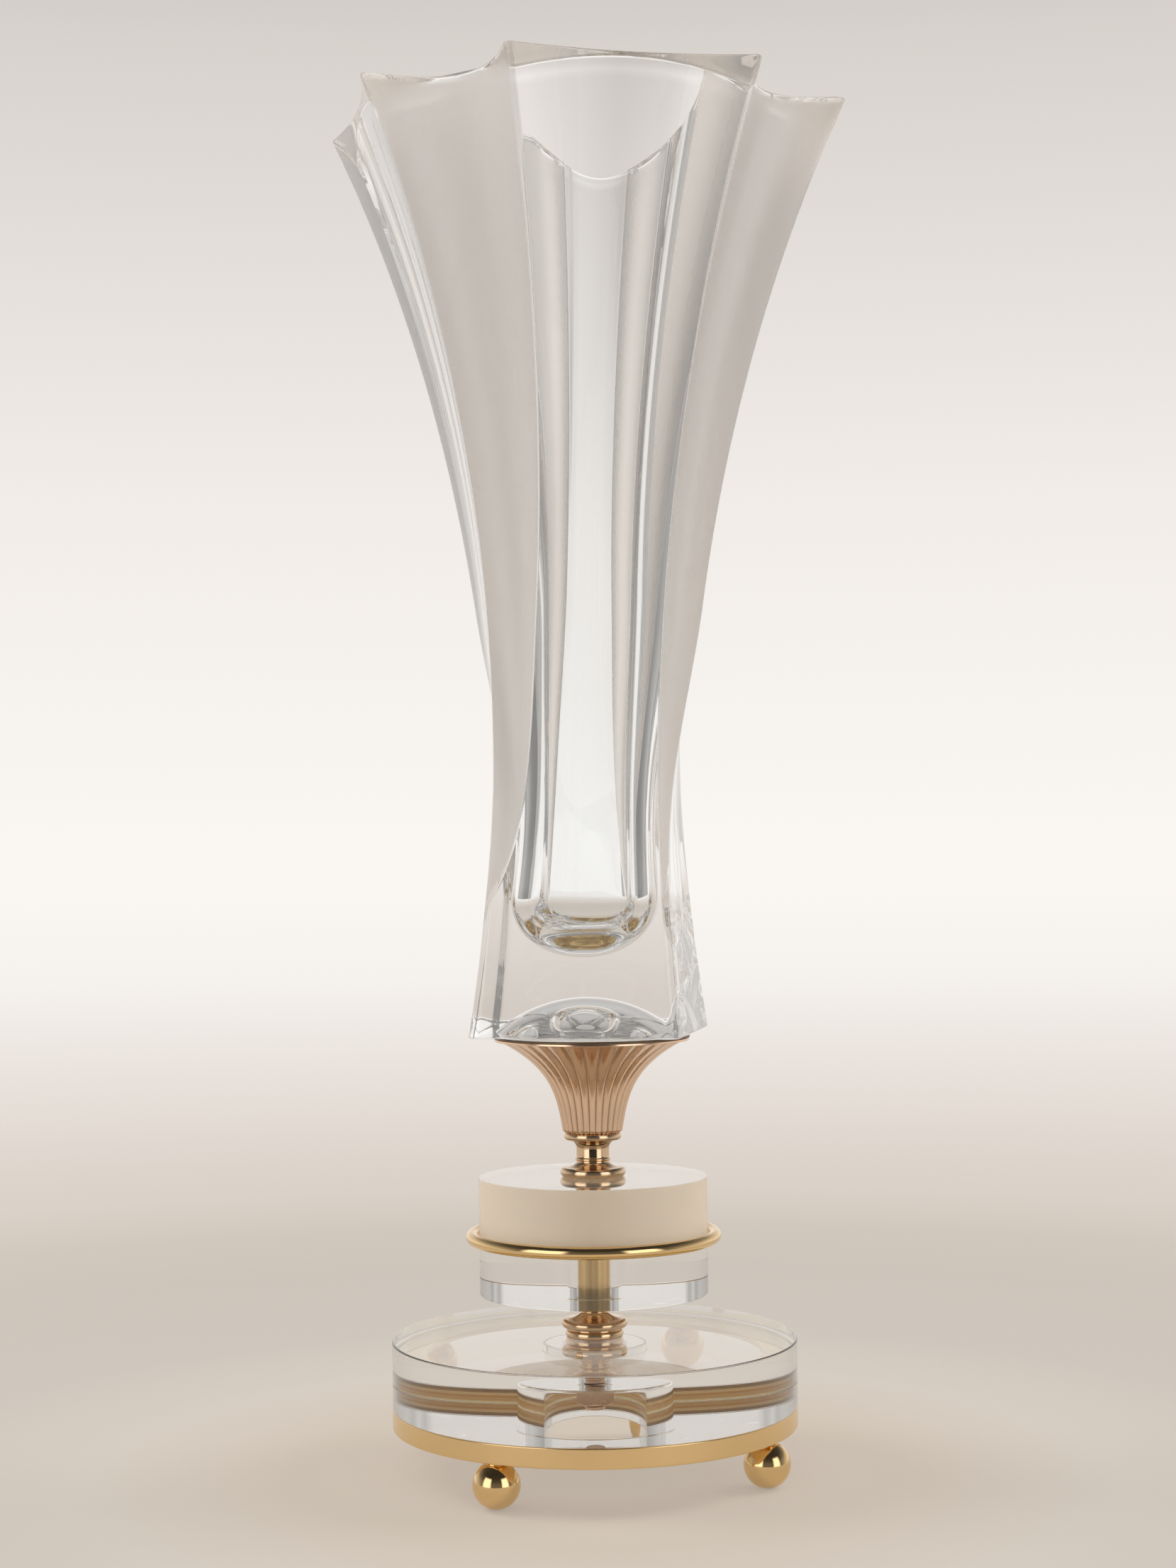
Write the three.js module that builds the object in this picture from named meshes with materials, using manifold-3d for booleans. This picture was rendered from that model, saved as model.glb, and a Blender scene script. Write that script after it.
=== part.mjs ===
// A crystal vase with a flared, fluted star mouth on a brass and clear-disc pedestal.
// Lengths are in millimetres and angles in degrees. +Z is up and the floor is z = 0.
// The axis of every turned piece is the Z axis, and the front of the vase faces -Y.
import * as THREE from 'three';
import { mergeVertices } from 'three/addons/utils/BufferGeometryUtils.js';
import Module from 'manifold-3d';

const wasm = await Module();
wasm.setup();

// Clearances shared by the whole stack
const rodGap = 0.3;
const seatGap = 0.3;

// Facets around the axis, shared so that neighbours nest without crossing
const roundSides = 48;
const collarSides = 28;
const smallSides = 16;

// Ball feet and their studs
const foot = {
  count: 4, ballRadius: 8.5, groundDepth: 0.15, neckRadius: 4, neckLength: 0.5,
  fromEdge: 4.6, turn: -29.5, arcSteps: 8,
};
const stud = { radius: 1.5, intoFoot: 7, belowDisc: 0.3, endGap: 0.5 };

// Brass bezel that carries the thick base disc
const bezel = { radius: 75, height: 7.3, wall: 1.2, floor: 2.15, flange: 13 };
const baseDisc = { thickness: 30, edgeBevel: 0.7, recessRadius: 19.2, recessDepth: 17.3, recessRound: 1 };

// Tie rod with its hardware
const rod = { radius: 4, bevel: 0.6, belowNut: 2.2, aboveNut: 2.5 };
const nut = { acrossFlats: 13, height: 6.5 };
const baseWasher = { radius: 12, thickness: 1.6 };
const cupWasher = { radius: 7.6, thickness: 1.2 };

// Clear pedestal discs and the brass band clamped between them
const pedestal = { radius: 42.4, lower: 20.6, upper: 21.5, edgeBevel: 0.4 };
const band = { wireRadius: 2.35, web: 1, webReach: 8.4, arcSteps: 8 };
const sleeve = { wall: 1.7, clearance: 0.6 };

// Turned brass collars
const lowerCollar = {
  height: 16.4, footRadius: 10.3, footEdge: 0.5, footHeight: 2.6, grooveRadius: 9.6, grooveHeight: 0.9,
  flangeRadius: 11.1, flangeEdge: 1.2, flangeHeight: 3.2, neckRadius: 5.2, coneHeight: 3, beadEdge: 0.8,
  beadHeight: 1.8, headRadius: 9.5, headHeight: 1.8,
};
const upperCollar = {
  height: 16.3, footRadius: 11, footEdge: 1.2, footHeight: 3.4, neckRadius: 6.1, coveHeight: 2.4,
  beadEdge: 0.5, beadHeight: 1.2, waistHeight: 3.4, headRadius: 9.9, headEdge: 0.8, headHeight: 2.6,
};

// Ribbed brass cup
const cup = {
  height: 35, bottomRadius: 11, topRadius: 36.2, straightFlare: 5.8, flarePower: 3.4, ribs: 30,
  ribDepthBottom: 0.35, ribDepthTop: 0.8, lip: 0.9, wall: 2.2, floor: 6, steps: 6, pointsPerRib: 4,
};
const plate = { overhang: 0.2, thickness: 0.8, edgeBevel: 0.25 };
const pad = { width: 3, thickness: 1.2 };

// Crystal vase: four main ridges run its full height, four more start above the foot
const vase = {
  height: 338.7, footRadius: 53, waistRadius: 42.8, rimRadius: 100, waistHeight: 95,
  footPower: 1.6, rimPower: 2.1, turn: 32.5, twist: 6.3, cornerAngle: 3.5, edgeBevel: 0.8,
  fluteStart: 48.5, fluteAngle: 36, fluteRise: 3.4, fluteSoftness: 0.95, fluteShoulder: 108, fluteToe: 20,
  fluteDepthStart: 0.12, fluteDepthRim: 0.285, faceDepthRim: 0.054,
};
const cavity = {
  floor: 27, floorRound: 24, wall: 5.8, cornerBulge: 3.2, rimPinch: 6, roundness: 2,
  sides: 32, floorSteps: 5, bodySteps: 12, mouthOvershoot: 6,
};
const punt = { footRim: 5.6, depth: 12, arcSteps: 8 };
const ring = { fluteSteps: 6, faceSteps: 5, footSteps: 4, bodySteps: 16, bodySpacing: 1.4 };

// Heights of the seats, from the floor up
const ballCentre = foot.ballRadius - foot.groundDepth;
const ballTop = ballCentre + Math.sqrt(foot.ballRadius ** 2 - foot.neckRadius ** 2);
const bezelBottom = ballTop + foot.neckLength;
const baseBottom = bezelBottom + bezel.floor;
const baseTop = baseBottom + baseDisc.thickness;
const lowerDiscBottom = baseTop + lowerCollar.height;
const lowerDiscTop = lowerDiscBottom + pedestal.lower;
const upperDiscBottom = lowerDiscTop + band.web;
const upperDiscTop = upperDiscBottom + pedestal.upper;
const cupBottom = upperDiscTop + upperCollar.height;
const cupTop = cupBottom + cup.height;
const plateTop = cupTop + plate.thickness;
const vaseFoot = plateTop + pad.thickness;
const recessTop = baseBottom + baseDisc.recessDepth;
const rodBore = rod.radius + rodGap;
const footCircle = bezel.radius - foot.fromEdge;
const sleeveRadius = rodBore + sleeve.wall;
const discBore = sleeveRadius + sleeve.clearance;
const plateRadius = cup.topRadius + plate.overhang;

const radians = THREE.MathUtils.degToRad;
const quarterTurn = 90;
const metal = { metalness: 1, roughness: 0.18 };
const brassColour = 0xc79a5b;

function material(colour, options) {
  return new THREE.MeshStandardMaterial({ color: colour, metalness: 0, roughness: 0.4, ...options });
}

const crystalGlass = () => material(0xe9e6e2, { roughness: 0.05, transparent: true, opacity: 0.4 });
const frostedGlass = () => material(0xd9cbb8, { roughness: 0.5, transparent: true, opacity: 0.8 });
const clearAcrylic = () => material(0xe6e8e8, { roughness: 0.03, transparent: true, opacity: 0.35 });
const polishedBrass = () => material(brassColour, metal);
const satinBrass = () => material(0xc0925a, { metalness: 1, roughness: 0.3 });
const zincSteel = () => material(0xb9bbbd, { metalness: 1, roughness: 0.35 });
const clearSilicone = () => material(0xe8e6e0, { roughness: 0.5, transparent: true, opacity: 0.6 });

// Keeps only positions, joins shared corners and drops triangles that have no area
function closedGeometry(geometry) {
  geometry.deleteAttribute('normal');
  geometry.deleteAttribute('uv');
  const merged = mergeVertices(geometry, 1e-4);
  const index = Array.from(merged.index.array);
  const kept = [];
  for (let i = 0; i < index.length; i += 3) {
    const [a, b, c] = index.slice(i, i + 3);
    if (a !== b && b !== c && c !== a) {
      kept.push(a, b, c);
    }
  }
  merged.setIndex(kept);
  return merged;
}

// Turns a profile of [radius, height] pairs, listed anticlockwise, about the Z axis
const axisUp = new THREE.Matrix4().makeBasis(
  new THREE.Vector3(1, 0, 0),
  new THREE.Vector3(0, 0, 1),
  new THREE.Vector3(0, -1, 0),
);

function turned(profile, sides = roundSides) {
  const points = profile.map(([radius, height]) => new THREE.Vector2(radius, height));
  const geometry = new THREE.LatheGeometry(points, sides);
  geometry.applyMatrix4(axisUp);
  return closedGeometry(geometry);
}

// Points on part of an ellipse in a turned profile
function arc(centre, height, radiusOut, radiusUp, from, to, steps) {
  const points = [];
  for (let i = 0; i <= steps; i += 1) {
    const angle = radians(from + ((to - from) * i) / steps);
    points.push([centre + radiusOut * Math.cos(angle), height + radiusUp * Math.sin(angle)]);
  }
  return points;
}

// A rounded edge that swells from the radius by the bulge between two heights
function roundEdge(radius, low, high, bulge, steps = 4) {
  return arc(radius, (low + high) / 2, bulge, (high - low) / 2, -90, 90, steps);
}

// Geometry to manifold solid and back, for joins and cuts
function toSolid(geometry) {
  const vertProperties = new Float32Array(geometry.attributes.position.array);
  const triVerts = new Uint32Array(geometry.index.array);
  return new wasm.Manifold(new wasm.Mesh({ numProp: 3, vertProperties, triVerts }));
}

function fromSolid(solid) {
  const mesh = solid.getMesh();
  const geometry = new THREE.BufferGeometry();
  geometry.setAttribute('position', new THREE.BufferAttribute(new Float32Array(mesh.vertProperties), 3));
  geometry.setIndex(Array.from(mesh.triVerts));
  return geometry;
}

function cut(body, ...tools) {
  let solid = toSolid(body);
  for (const tool of tools) {
    solid = solid.subtract(toSolid(tool));
  }
  return fromSolid(solid);
}

// Skins a stack of rings, each an equal number of points listed anticlockwise, and caps both ends
function lofted(rings) {
  const count = rings[0].length;
  const positions = rings.flat().flatMap((point) => [point.x, point.y, point.z]);
  const index = [];
  for (let level = 0; level + 1 < rings.length; level += 1) {
    for (let i = 0; i < count; i += 1) {
      const a = level * count + i;
      const b = level * count + ((i + 1) % count);
      index.push(a, b, b + count, a, b + count, a + count);
    }
  }
  const bottom = positions.length / 3;
  positions.push(0, 0, rings[0][0].z);
  const top = bottom + 1;
  positions.push(0, 0, rings[rings.length - 1][0].z);
  const lastRing = (rings.length - 1) * count;
  for (let i = 0; i < count; i += 1) {
    const next = (i + 1) % count;
    index.push(bottom, next, i);
    index.push(top, lastRing + i, lastRing + next);
  }
  const geometry = new THREE.BufferGeometry();
  geometry.setAttribute('position', new THREE.BufferAttribute(new Float32Array(positions), 3));
  geometry.setIndex(index);
  return geometry;
}

function onCircle(count, turn, radius, make) {
  return Array.from({ length: count }, (_, i) => {
    const angle = radians(turn + (360 * i) / count);
    return make(i, radius * Math.cos(angle), radius * Math.sin(angle));
  });
}

// Feet

function footGeometry() {
  const { ballRadius, neckRadius, groundDepth, arcSteps } = foot;
  const groundAngle = -THREE.MathUtils.radToDeg(Math.asin((ballRadius - groundDepth) / ballRadius));
  const neckAngle = THREE.MathUtils.radToDeg(Math.acos(neckRadius / ballRadius));
  const boreRadius = stud.radius + rodGap;
  const boreFloor = bezelBottom - stud.intoFoot - stud.endGap;
  return turned([
    [0, 0],
    ...arc(0, ballCentre, ballRadius, ballRadius, groundAngle, neckAngle, arcSteps),
    [neckRadius, bezelBottom],
    [boreRadius, bezelBottom],
    [boreRadius, boreFloor],
    [0, boreFloor],
  ], smallSides);
}

function studGeometry() {
  return plug(stud.radius, bezelBottom - stud.intoFoot, baseBottom - stud.belowDisc, smallSides / 2);
}

function plug(radius, low, high, sides) {
  return turned([[0, low], [radius, low], [radius, high], [0, high]], sides);
}

function studHoles(low, high) {
  const hole = (_, x, y) => plug(stud.radius + rodGap, low, high, smallSides / 2).translate(x, y, 0);
  return onCircle(foot.count, foot.turn, footCircle, hole);
}

// Base

function bezelGeometry() {
  const top = bezelBottom + bezel.height;
  const inner = bezel.radius - bezel.wall;
  const body = turned([
    [bezel.radius - bezel.flange, bezelBottom],
    [bezel.radius, bezelBottom],
    [bezel.radius, top],
    [inner, top],
    [inner, baseBottom],
    [bezel.radius - bezel.flange, baseBottom],
    [bezel.radius - bezel.flange, bezelBottom],
  ]);
  return cut(body, ...studHoles(bezelBottom - 1, baseBottom + 1));
}

function baseDiscGeometry() {
  const { edgeBevel, recessRadius, recessRound } = baseDisc;
  const rebateTop = bezelBottom + bezel.height + seatGap;
  const rebateRadius = bezel.radius - bezel.wall - seatGap;
  return turned([
    [recessRadius, baseBottom],
    [rebateRadius, baseBottom],
    [rebateRadius, rebateTop],
    [bezel.radius, rebateTop],
    [bezel.radius, baseTop - edgeBevel],
    [bezel.radius - edgeBevel, baseTop],
    [rodBore, baseTop],
    [rodBore, recessTop],
    [recessRadius - recessRound, recessTop],
    [recessRadius, recessTop - recessRound],
    [recessRadius, baseBottom],
  ]);
}

// Tie rod and its hardware

function rodGeometry() {
  const low = recessTop - baseWasher.thickness - nut.height - rod.belowNut;
  const high = cupBottom + cup.floor + cupWasher.thickness + nut.height + rod.aboveNut;
  return turned([
    [0, low],
    [rod.radius - rod.bevel, low],
    [rod.radius, low + rod.bevel],
    [rod.radius, high - rod.bevel],
    [rod.radius - rod.bevel, high],
    [0, high],
  ], smallSides);
}

function washerGeometry(washer, low) {
  const high = low + washer.thickness;
  return turned([
    [rodBore, low],
    [washer.radius, low],
    [washer.radius, high],
    [rodBore, high],
    [rodBore, low],
  ], smallSides);
}

function nutGeometry(low) {
  const corner = nut.acrossFlats / Math.sqrt(3);
  const outline = new THREE.Shape();
  onCircle(6, 30, corner, (i, x, y) => (i === 0 ? outline.moveTo(x, y) : outline.lineTo(x, y)));
  outline.closePath();
  const bore = new THREE.Path();
  bore.absarc(0, 0, rodBore, 0, 2 * Math.PI, true);
  outline.holes.push(bore);
  const options = { depth: nut.height, bevelEnabled: false, curveSegments: smallSides / 2 };
  const geometry = new THREE.ExtrudeGeometry(outline, options);
  geometry.translate(0, 0, low);
  return closedGeometry(geometry);
}

// Pedestal discs, sleeve and band

function discGeometry(low, high) {
  const { radius, edgeBevel } = pedestal;
  return turned([
    [discBore, low],
    [radius - edgeBevel, low],
    [radius, low + edgeBevel],
    [radius, high - edgeBevel],
    [radius - edgeBevel, high],
    [discBore, high],
    [discBore, low],
  ]);
}

function sleeveGeometry() {
  return turned([
    [rodBore, lowerDiscBottom],
    [sleeveRadius, lowerDiscBottom],
    [sleeveRadius, upperDiscTop],
    [rodBore, upperDiscTop],
    [rodBore, lowerDiscBottom],
  ]);
}

function bandGeometry() {
  const centre = pedestal.radius + seatGap + band.wireRadius;
  const height = lowerDiscTop + band.web / 2;
  const start = THREE.MathUtils.radToDeg(Math.asin(band.web / 2 / band.wireRadius));
  const webInner = pedestal.radius - band.webReach;
  const wire = arc(centre, height, band.wireRadius, band.wireRadius, start - 180, 180 - start, band.arcSteps);
  wire[0][1] = lowerDiscTop;
  wire[wire.length - 1][1] = upperDiscBottom;
  return turned([
    [webInner, lowerDiscTop],
    ...wire,
    [webInner, upperDiscBottom],
    [webInner, lowerDiscTop],
  ]);
}

// Collars

function lowerCollarGeometry() {
  const c = lowerCollar;
  const footHigh = baseTop + c.footHeight;
  const flangeLow = footHigh + c.grooveHeight;
  const flangeHigh = flangeLow + c.flangeHeight;
  const beadLow = flangeHigh + c.coneHeight;
  const beadHigh = beadLow + c.beadHeight;
  const headLow = lowerDiscBottom - c.headHeight;
  const cone = c.flangeRadius - c.neckRadius;
  const cove = c.headRadius - c.neckRadius;
  return turned([
    [rodBore, baseTop],
    ...roundEdge(c.footRadius, baseTop, footHigh, c.footEdge),
    [c.grooveRadius, footHigh],
    [c.grooveRadius, flangeLow],
    ...roundEdge(c.flangeRadius, flangeLow, flangeHigh, c.flangeEdge),
    ...arc(c.flangeRadius, beadLow, cone, c.coneHeight, 270, 180, 4).slice(1),
    ...roundEdge(c.neckRadius, beadLow, beadHigh, c.beadEdge).slice(1),
    ...arc(c.headRadius, beadHigh, cove, headLow - beadHigh, 180, 90, 4).slice(1),
    [c.headRadius, lowerDiscBottom],
    [rodBore, lowerDiscBottom],
    [rodBore, baseTop],
  ], collarSides);
}

function upperCollarGeometry() {
  const c = upperCollar;
  const footHigh = upperDiscTop + c.footHeight;
  const beadLow = footHigh + c.coveHeight;
  const beadHigh = beadLow + c.beadHeight;
  const waistHigh = beadHigh + c.waistHeight;
  const headLow = cupBottom - c.headHeight;
  const footCove = c.footRadius - c.neckRadius;
  const headCove = c.headRadius - c.neckRadius;
  return turned([
    [rodBore, upperDiscTop],
    ...roundEdge(c.footRadius, upperDiscTop, footHigh, c.footEdge),
    ...arc(c.footRadius, beadLow, footCove, c.coveHeight, 270, 180, 4).slice(1),
    ...roundEdge(c.neckRadius, beadLow, beadHigh, c.beadEdge, 4).slice(1),
    ...arc(c.headRadius, waistHigh, headCove, headLow - waistHigh, 180, 90, 4),
    ...roundEdge(c.headRadius, headLow, cupBottom, c.headEdge).slice(1),
    [rodBore, cupBottom],
    [rodBore, upperDiscTop],
  ], collarSides);
}

// Cup

function cupRadius(share) {
  const rise = cup.topRadius - cup.bottomRadius - cup.straightFlare;
  return cup.bottomRadius + cup.straightFlare * share + rise * share ** cup.flarePower;
}

function cupRing(height, depthScale) {
  const share = (height - cupBottom) / cup.height;
  const radius = cupRadius(share);
  const depth = depthScale * THREE.MathUtils.lerp(cup.ribDepthBottom, cup.ribDepthTop, share);
  const count = cup.ribs * cup.pointsPerRib;
  return Array.from({ length: count }, (_, i) => {
    const crest = Math.abs(Math.sin((Math.PI * i) / cup.pointsPerRib));
    const reach = radius - depth * (1 - crest);
    const angle = (2 * Math.PI * i) / count;
    return new THREE.Vector3(reach * Math.cos(angle), reach * Math.sin(angle), height);
  });
}

function cupGeometry() {
  const rings = [];
  for (let i = 0; i <= cup.steps; i += 1) {
    const share = 1 - (1 - i / cup.steps) ** 1.4;
    rings.push(cupRing(cupBottom + (cup.height - cup.lip) * share, 1));
  }
  rings.push(cupRing(cupTop, 0));
  const inside = [[0, cupBottom + cup.floor]];
  for (let i = 0; i <= cup.steps; i += 1) {
    const height = THREE.MathUtils.lerp(cup.floor, cup.height, i / cup.steps);
    inside.push([cupRadius(height / cup.height) - cup.wall - cup.ribDepthBottom, cupBottom + height]);
  }
  const mouth = inside[inside.length - 1][0];
  inside.push([mouth, cupTop + 1], [0, cupTop + 1]);
  const bore = plug(rodBore, cupBottom - 1, cupTop, smallSides);
  return cut(lofted(rings), turned(inside), bore);
}

function plateGeometry() {
  const { edgeBevel } = plate;
  return turned([
    [0, cupTop],
    [plateRadius - edgeBevel, cupTop],
    [plateRadius, cupTop + edgeBevel],
    [plateRadius, plateTop - edgeBevel],
    [plateRadius - edgeBevel, plateTop],
    [0, plateTop],
  ]);
}

function padGeometry() {
  const inner = puntRadius() + seatGap;
  return turned([
    [inner, plateTop],
    [inner + pad.width, plateTop],
    [inner + pad.width, vaseFoot],
    [inner, vaseFoot],
    [inner, plateTop],
  ]);
}

// Crystal vase

// Distance of every ridge from the axis: a swelling foot, a narrow waist and a wide mouth
function ridgeRadius(height) {
  if (height < vase.waistHeight) {
    const share = (vase.waistHeight - height) / vase.waistHeight;
    return vase.waistRadius + (vase.footRadius - vase.waistRadius) * share ** vase.footPower;
  }
  const share = (height - vase.waistHeight) / (vase.height - vase.waistHeight);
  return vase.waistRadius + (vase.rimRadius - vase.waistRadius) * share ** vase.rimPower;
}

function mainRidgeAngle(height) {
  const left = 1 - height / vase.height;
  return vase.turn + vase.twist * (1 - left * left);
}

function fluteShare(height) {
  return Math.max(0, (height - vase.fluteStart) / (vase.height - vase.fluteStart));
}

// Angle between a main ridge and the ridge on the far side of its flute
function fluteAngle(height) {
  const opened = (1 - (1 - fluteShare(height)) ** vase.fluteRise) ** vase.fluteSoftness;
  return vase.cornerAngle + (vase.fluteAngle - vase.cornerAngle) * opened;
}

// The second ridge leaves the corner along the flat face and reaches the main ridges' radius higher up
function farRidgeRadius(height) {
  const halfFace = (quarterTurn - vase.cornerAngle) / 2;
  const offCentre = halfFace + vase.cornerAngle - fluteAngle(height);
  const onFlat = Math.cos(radians(halfFace)) / Math.cos(radians(offCentre));
  const climbed = THREE.MathUtils.smoothstep(height - vase.fluteStart, 0, vase.fluteShoulder);
  return ridgeRadius(height) * THREE.MathUtils.lerp(onFlat, 1, climbed);
}

function ridgePoint(height, radius, angle) {
  return new THREE.Vector3(
    radius * Math.cos(radians(angle)),
    radius * Math.sin(radians(angle)),
    vaseFoot + height,
  );
}

// The ridges of one quarter: main ridge, far side of its flute, and the next main ridge
function quarterRidges(height, quarter, inset = 0) {
  const main = mainRidgeAngle(height) + quarterTurn * quarter;
  return [
    ridgePoint(height, ridgeRadius(height) - inset, main),
    ridgePoint(height, farRidgeRadius(height) - inset, main + fluteAngle(height)),
    ridgePoint(height, ridgeRadius(height) - inset, main + quarterTurn),
  ];
}

function fluteDepth(height) {
  const [main, far] = quarterRidges(height, 0);
  const share = THREE.MathUtils.lerp(vase.fluteDepthStart, vase.fluteDepthRim, fluteShare(height));
  const toe = THREE.MathUtils.smoothstep(height - vase.fluteStart, 0, vase.fluteToe);
  return main.distanceTo(far) * share * toe;
}

function faceDepth(height) {
  const [, far, next] = quarterRidges(height, 0);
  return (far.distanceTo(next) * vase.faceDepthRim * height) / vase.height;
}

// Nearest distance of a clear face from the axis
function faceRadius(height) {
  const [, far, next] = quarterRidges(height, 0);
  const area = far.x * next.y - far.y * next.x;
  return area / far.distanceTo(next) - faceDepth(height);
}

// A hollow between two ridges: their chord, sunk inwards by a parabola
function hollowPoints(start, end, depth, steps) {
  const inwards = new THREE.Vector3(start.y - end.y, end.x - start.x, 0).normalize();
  return Array.from({ length: steps }, (_, i) => {
    const share = i / steps;
    const point = new THREE.Vector3().lerpVectors(start, end, share);
    return point.addScaledVector(inwards, 4 * depth * share * (1 - share));
  });
}

function vaseRing(height, inset = 0) {
  const points = [];
  for (let quarter = 0; quarter < 4; quarter += 1) {
    const [main, far, next] = quarterRidges(height, quarter, inset);
    points.push(...hollowPoints(main, far, fluteDepth(height), ring.fluteSteps));
    points.push(...hollowPoints(far, next, faceDepth(height), ring.faceSteps));
  }
  return points;
}

function vaseLevels() {
  const levels = [];
  for (let i = 0; i < ring.footSteps; i += 1) {
    levels.push(THREE.MathUtils.lerp(vase.edgeBevel, vase.fluteStart, i / ring.footSteps));
  }
  for (let i = 0; i <= ring.bodySteps; i += 1) {
    const share = (i / ring.bodySteps) ** ring.bodySpacing;
    levels.push(THREE.MathUtils.lerp(vase.fluteStart, vase.height, share));
  }
  return levels;
}

// The hollow for flowers: round, a little fuller at the corners below and pinched at the flutes above
function cavityRing(height, scale) {
  const middle = mainRidgeAngle(height) + (fluteAngle(height) + quarterTurn) / 2;
  const round = faceRadius(Math.min(height, vase.height)) - cavity.wall;
  const corner = THREE.MathUtils.lerp(cavity.cornerBulge, -cavity.rimPinch, fluteShare(height));
  return Array.from({ length: cavity.sides }, (_, i) => {
    const angle = (360 * i) / cavity.sides;
    const towardsCorner = (1 - Math.cos(radians(4 * (angle - middle)))) / 2;
    const radius = scale * (round + corner * towardsCorner);
    return new THREE.Vector3(
      radius * Math.cos(radians(angle)),
      radius * Math.sin(radians(angle)),
      vaseFoot + height,
    );
  });
}

function cavityGeometry() {
  const rings = [];
  for (let i = 1; i <= cavity.floorSteps; i += 1) {
    const share = 1 - Math.cos((Math.PI / 2) * (i / cavity.floorSteps));
    const scale = (1 - (1 - share) ** cavity.roundness) ** (1 / cavity.roundness);
    rings.push(cavityRing(cavity.floor + cavity.floorRound * share, scale));
  }
  const low = cavity.floor + cavity.floorRound;
  for (let i = 1; i <= cavity.bodySteps; i += 1) {
    rings.push(cavityRing(THREE.MathUtils.lerp(low, vase.height, i / cavity.bodySteps), 1));
  }
  const mouth = rings[rings.length - 1];
  rings.push(mouth.map((point) => new THREE.Vector3(point.x, point.y, point.z + cavity.mouthOvershoot)));
  return lofted(rings);
}

// The shallow dome ground into the underside of the foot, inside the flat rim it stands on
function puntRadius() {
  return faceRadius(0) - punt.footRim;
}

function puntGeometry() {
  const radius = puntRadius();
  const domeRadius = (radius ** 2 + punt.depth ** 2) / (2 * punt.depth);
  const edge = THREE.MathUtils.radToDeg(Math.acos(radius / domeRadius));
  const dome = arc(0, vaseFoot + punt.depth - domeRadius, domeRadius, domeRadius, edge, 90, punt.arcSteps);
  dome[dome.length - 1][0] = 0;
  return turned([[0, vaseFoot - 1], [radius, vaseFoot - 1], ...dome]);
}

function vaseGeometry() {
  const rings = [vaseRing(0, vase.edgeBevel), ...vaseLevels().map((height) => vaseRing(height))];
  return cut(lofted(rings), cavityGeometry(), puntGeometry());
}

// Assembly

const assembly = new THREE.Group();

function addPiece(name, geometry, surface, parent = assembly) {
  const mesh = new THREE.Mesh(geometry, surface);
  mesh.name = name;
  parent.add(mesh);
  return mesh;
}

const footNames = ['front_right', 'rear_right', 'rear_left', 'front_left'];

function addFeet() {
  onCircle(foot.count, foot.turn, footCircle, (i, x, y) => {
    const group = new THREE.Group();
    group.position.set(x, y, 0);
    addPiece(`ball_foot_${footNames[i] ?? i}`, footGeometry(), polishedBrass(), group);
    addPiece(`foot_stud_${footNames[i] ?? i}`, studGeometry(), zincSteel(), group);
    assembly.add(group);
  });
}

addFeet();
addPiece('base_bezel', bezelGeometry(), polishedBrass());
addPiece('base_disc', baseDiscGeometry(), clearAcrylic());
addPiece('base_washer', washerGeometry(baseWasher, recessTop - baseWasher.thickness), satinBrass());
addPiece('base_nut', nutGeometry(recessTop - baseWasher.thickness - nut.height), satinBrass());
addPiece('tie_rod', rodGeometry(), satinBrass());
addPiece('lower_collar', lowerCollarGeometry(), polishedBrass());
addPiece('clear_disc', discGeometry(lowerDiscBottom, lowerDiscTop), clearAcrylic());
addPiece('rod_sleeve', sleeveGeometry(), polishedBrass());
addPiece('disc_band', bandGeometry(), polishedBrass());
addPiece('frosted_disc', discGeometry(upperDiscBottom, upperDiscTop), frostedGlass());
addPiece('upper_collar', upperCollarGeometry(), polishedBrass());
addPiece('ribbed_cup', cupGeometry(), satinBrass());
addPiece('cup_washer', washerGeometry(cupWasher, cupBottom + cup.floor), satinBrass());
addPiece('cup_nut', nutGeometry(cupBottom + cup.floor + cupWasher.thickness), satinBrass());
addPiece('cup_plate', plateGeometry(), satinBrass());
addPiece('seat_pad', padGeometry(), clearSilicone());
addPiece('crystal_vase', vaseGeometry(), crystalGlass());

export default assembly;
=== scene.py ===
"""A crystal vase with a fluted star mouth on a brass and clear-disc pedestal.

Lengths are in metres. +Z is up, the floor is z = 0 and the front of the vase faces -Y.
Every piece is a grid of points: its rows run along a profile and its columns round the Z axis.
"""
import math

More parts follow.
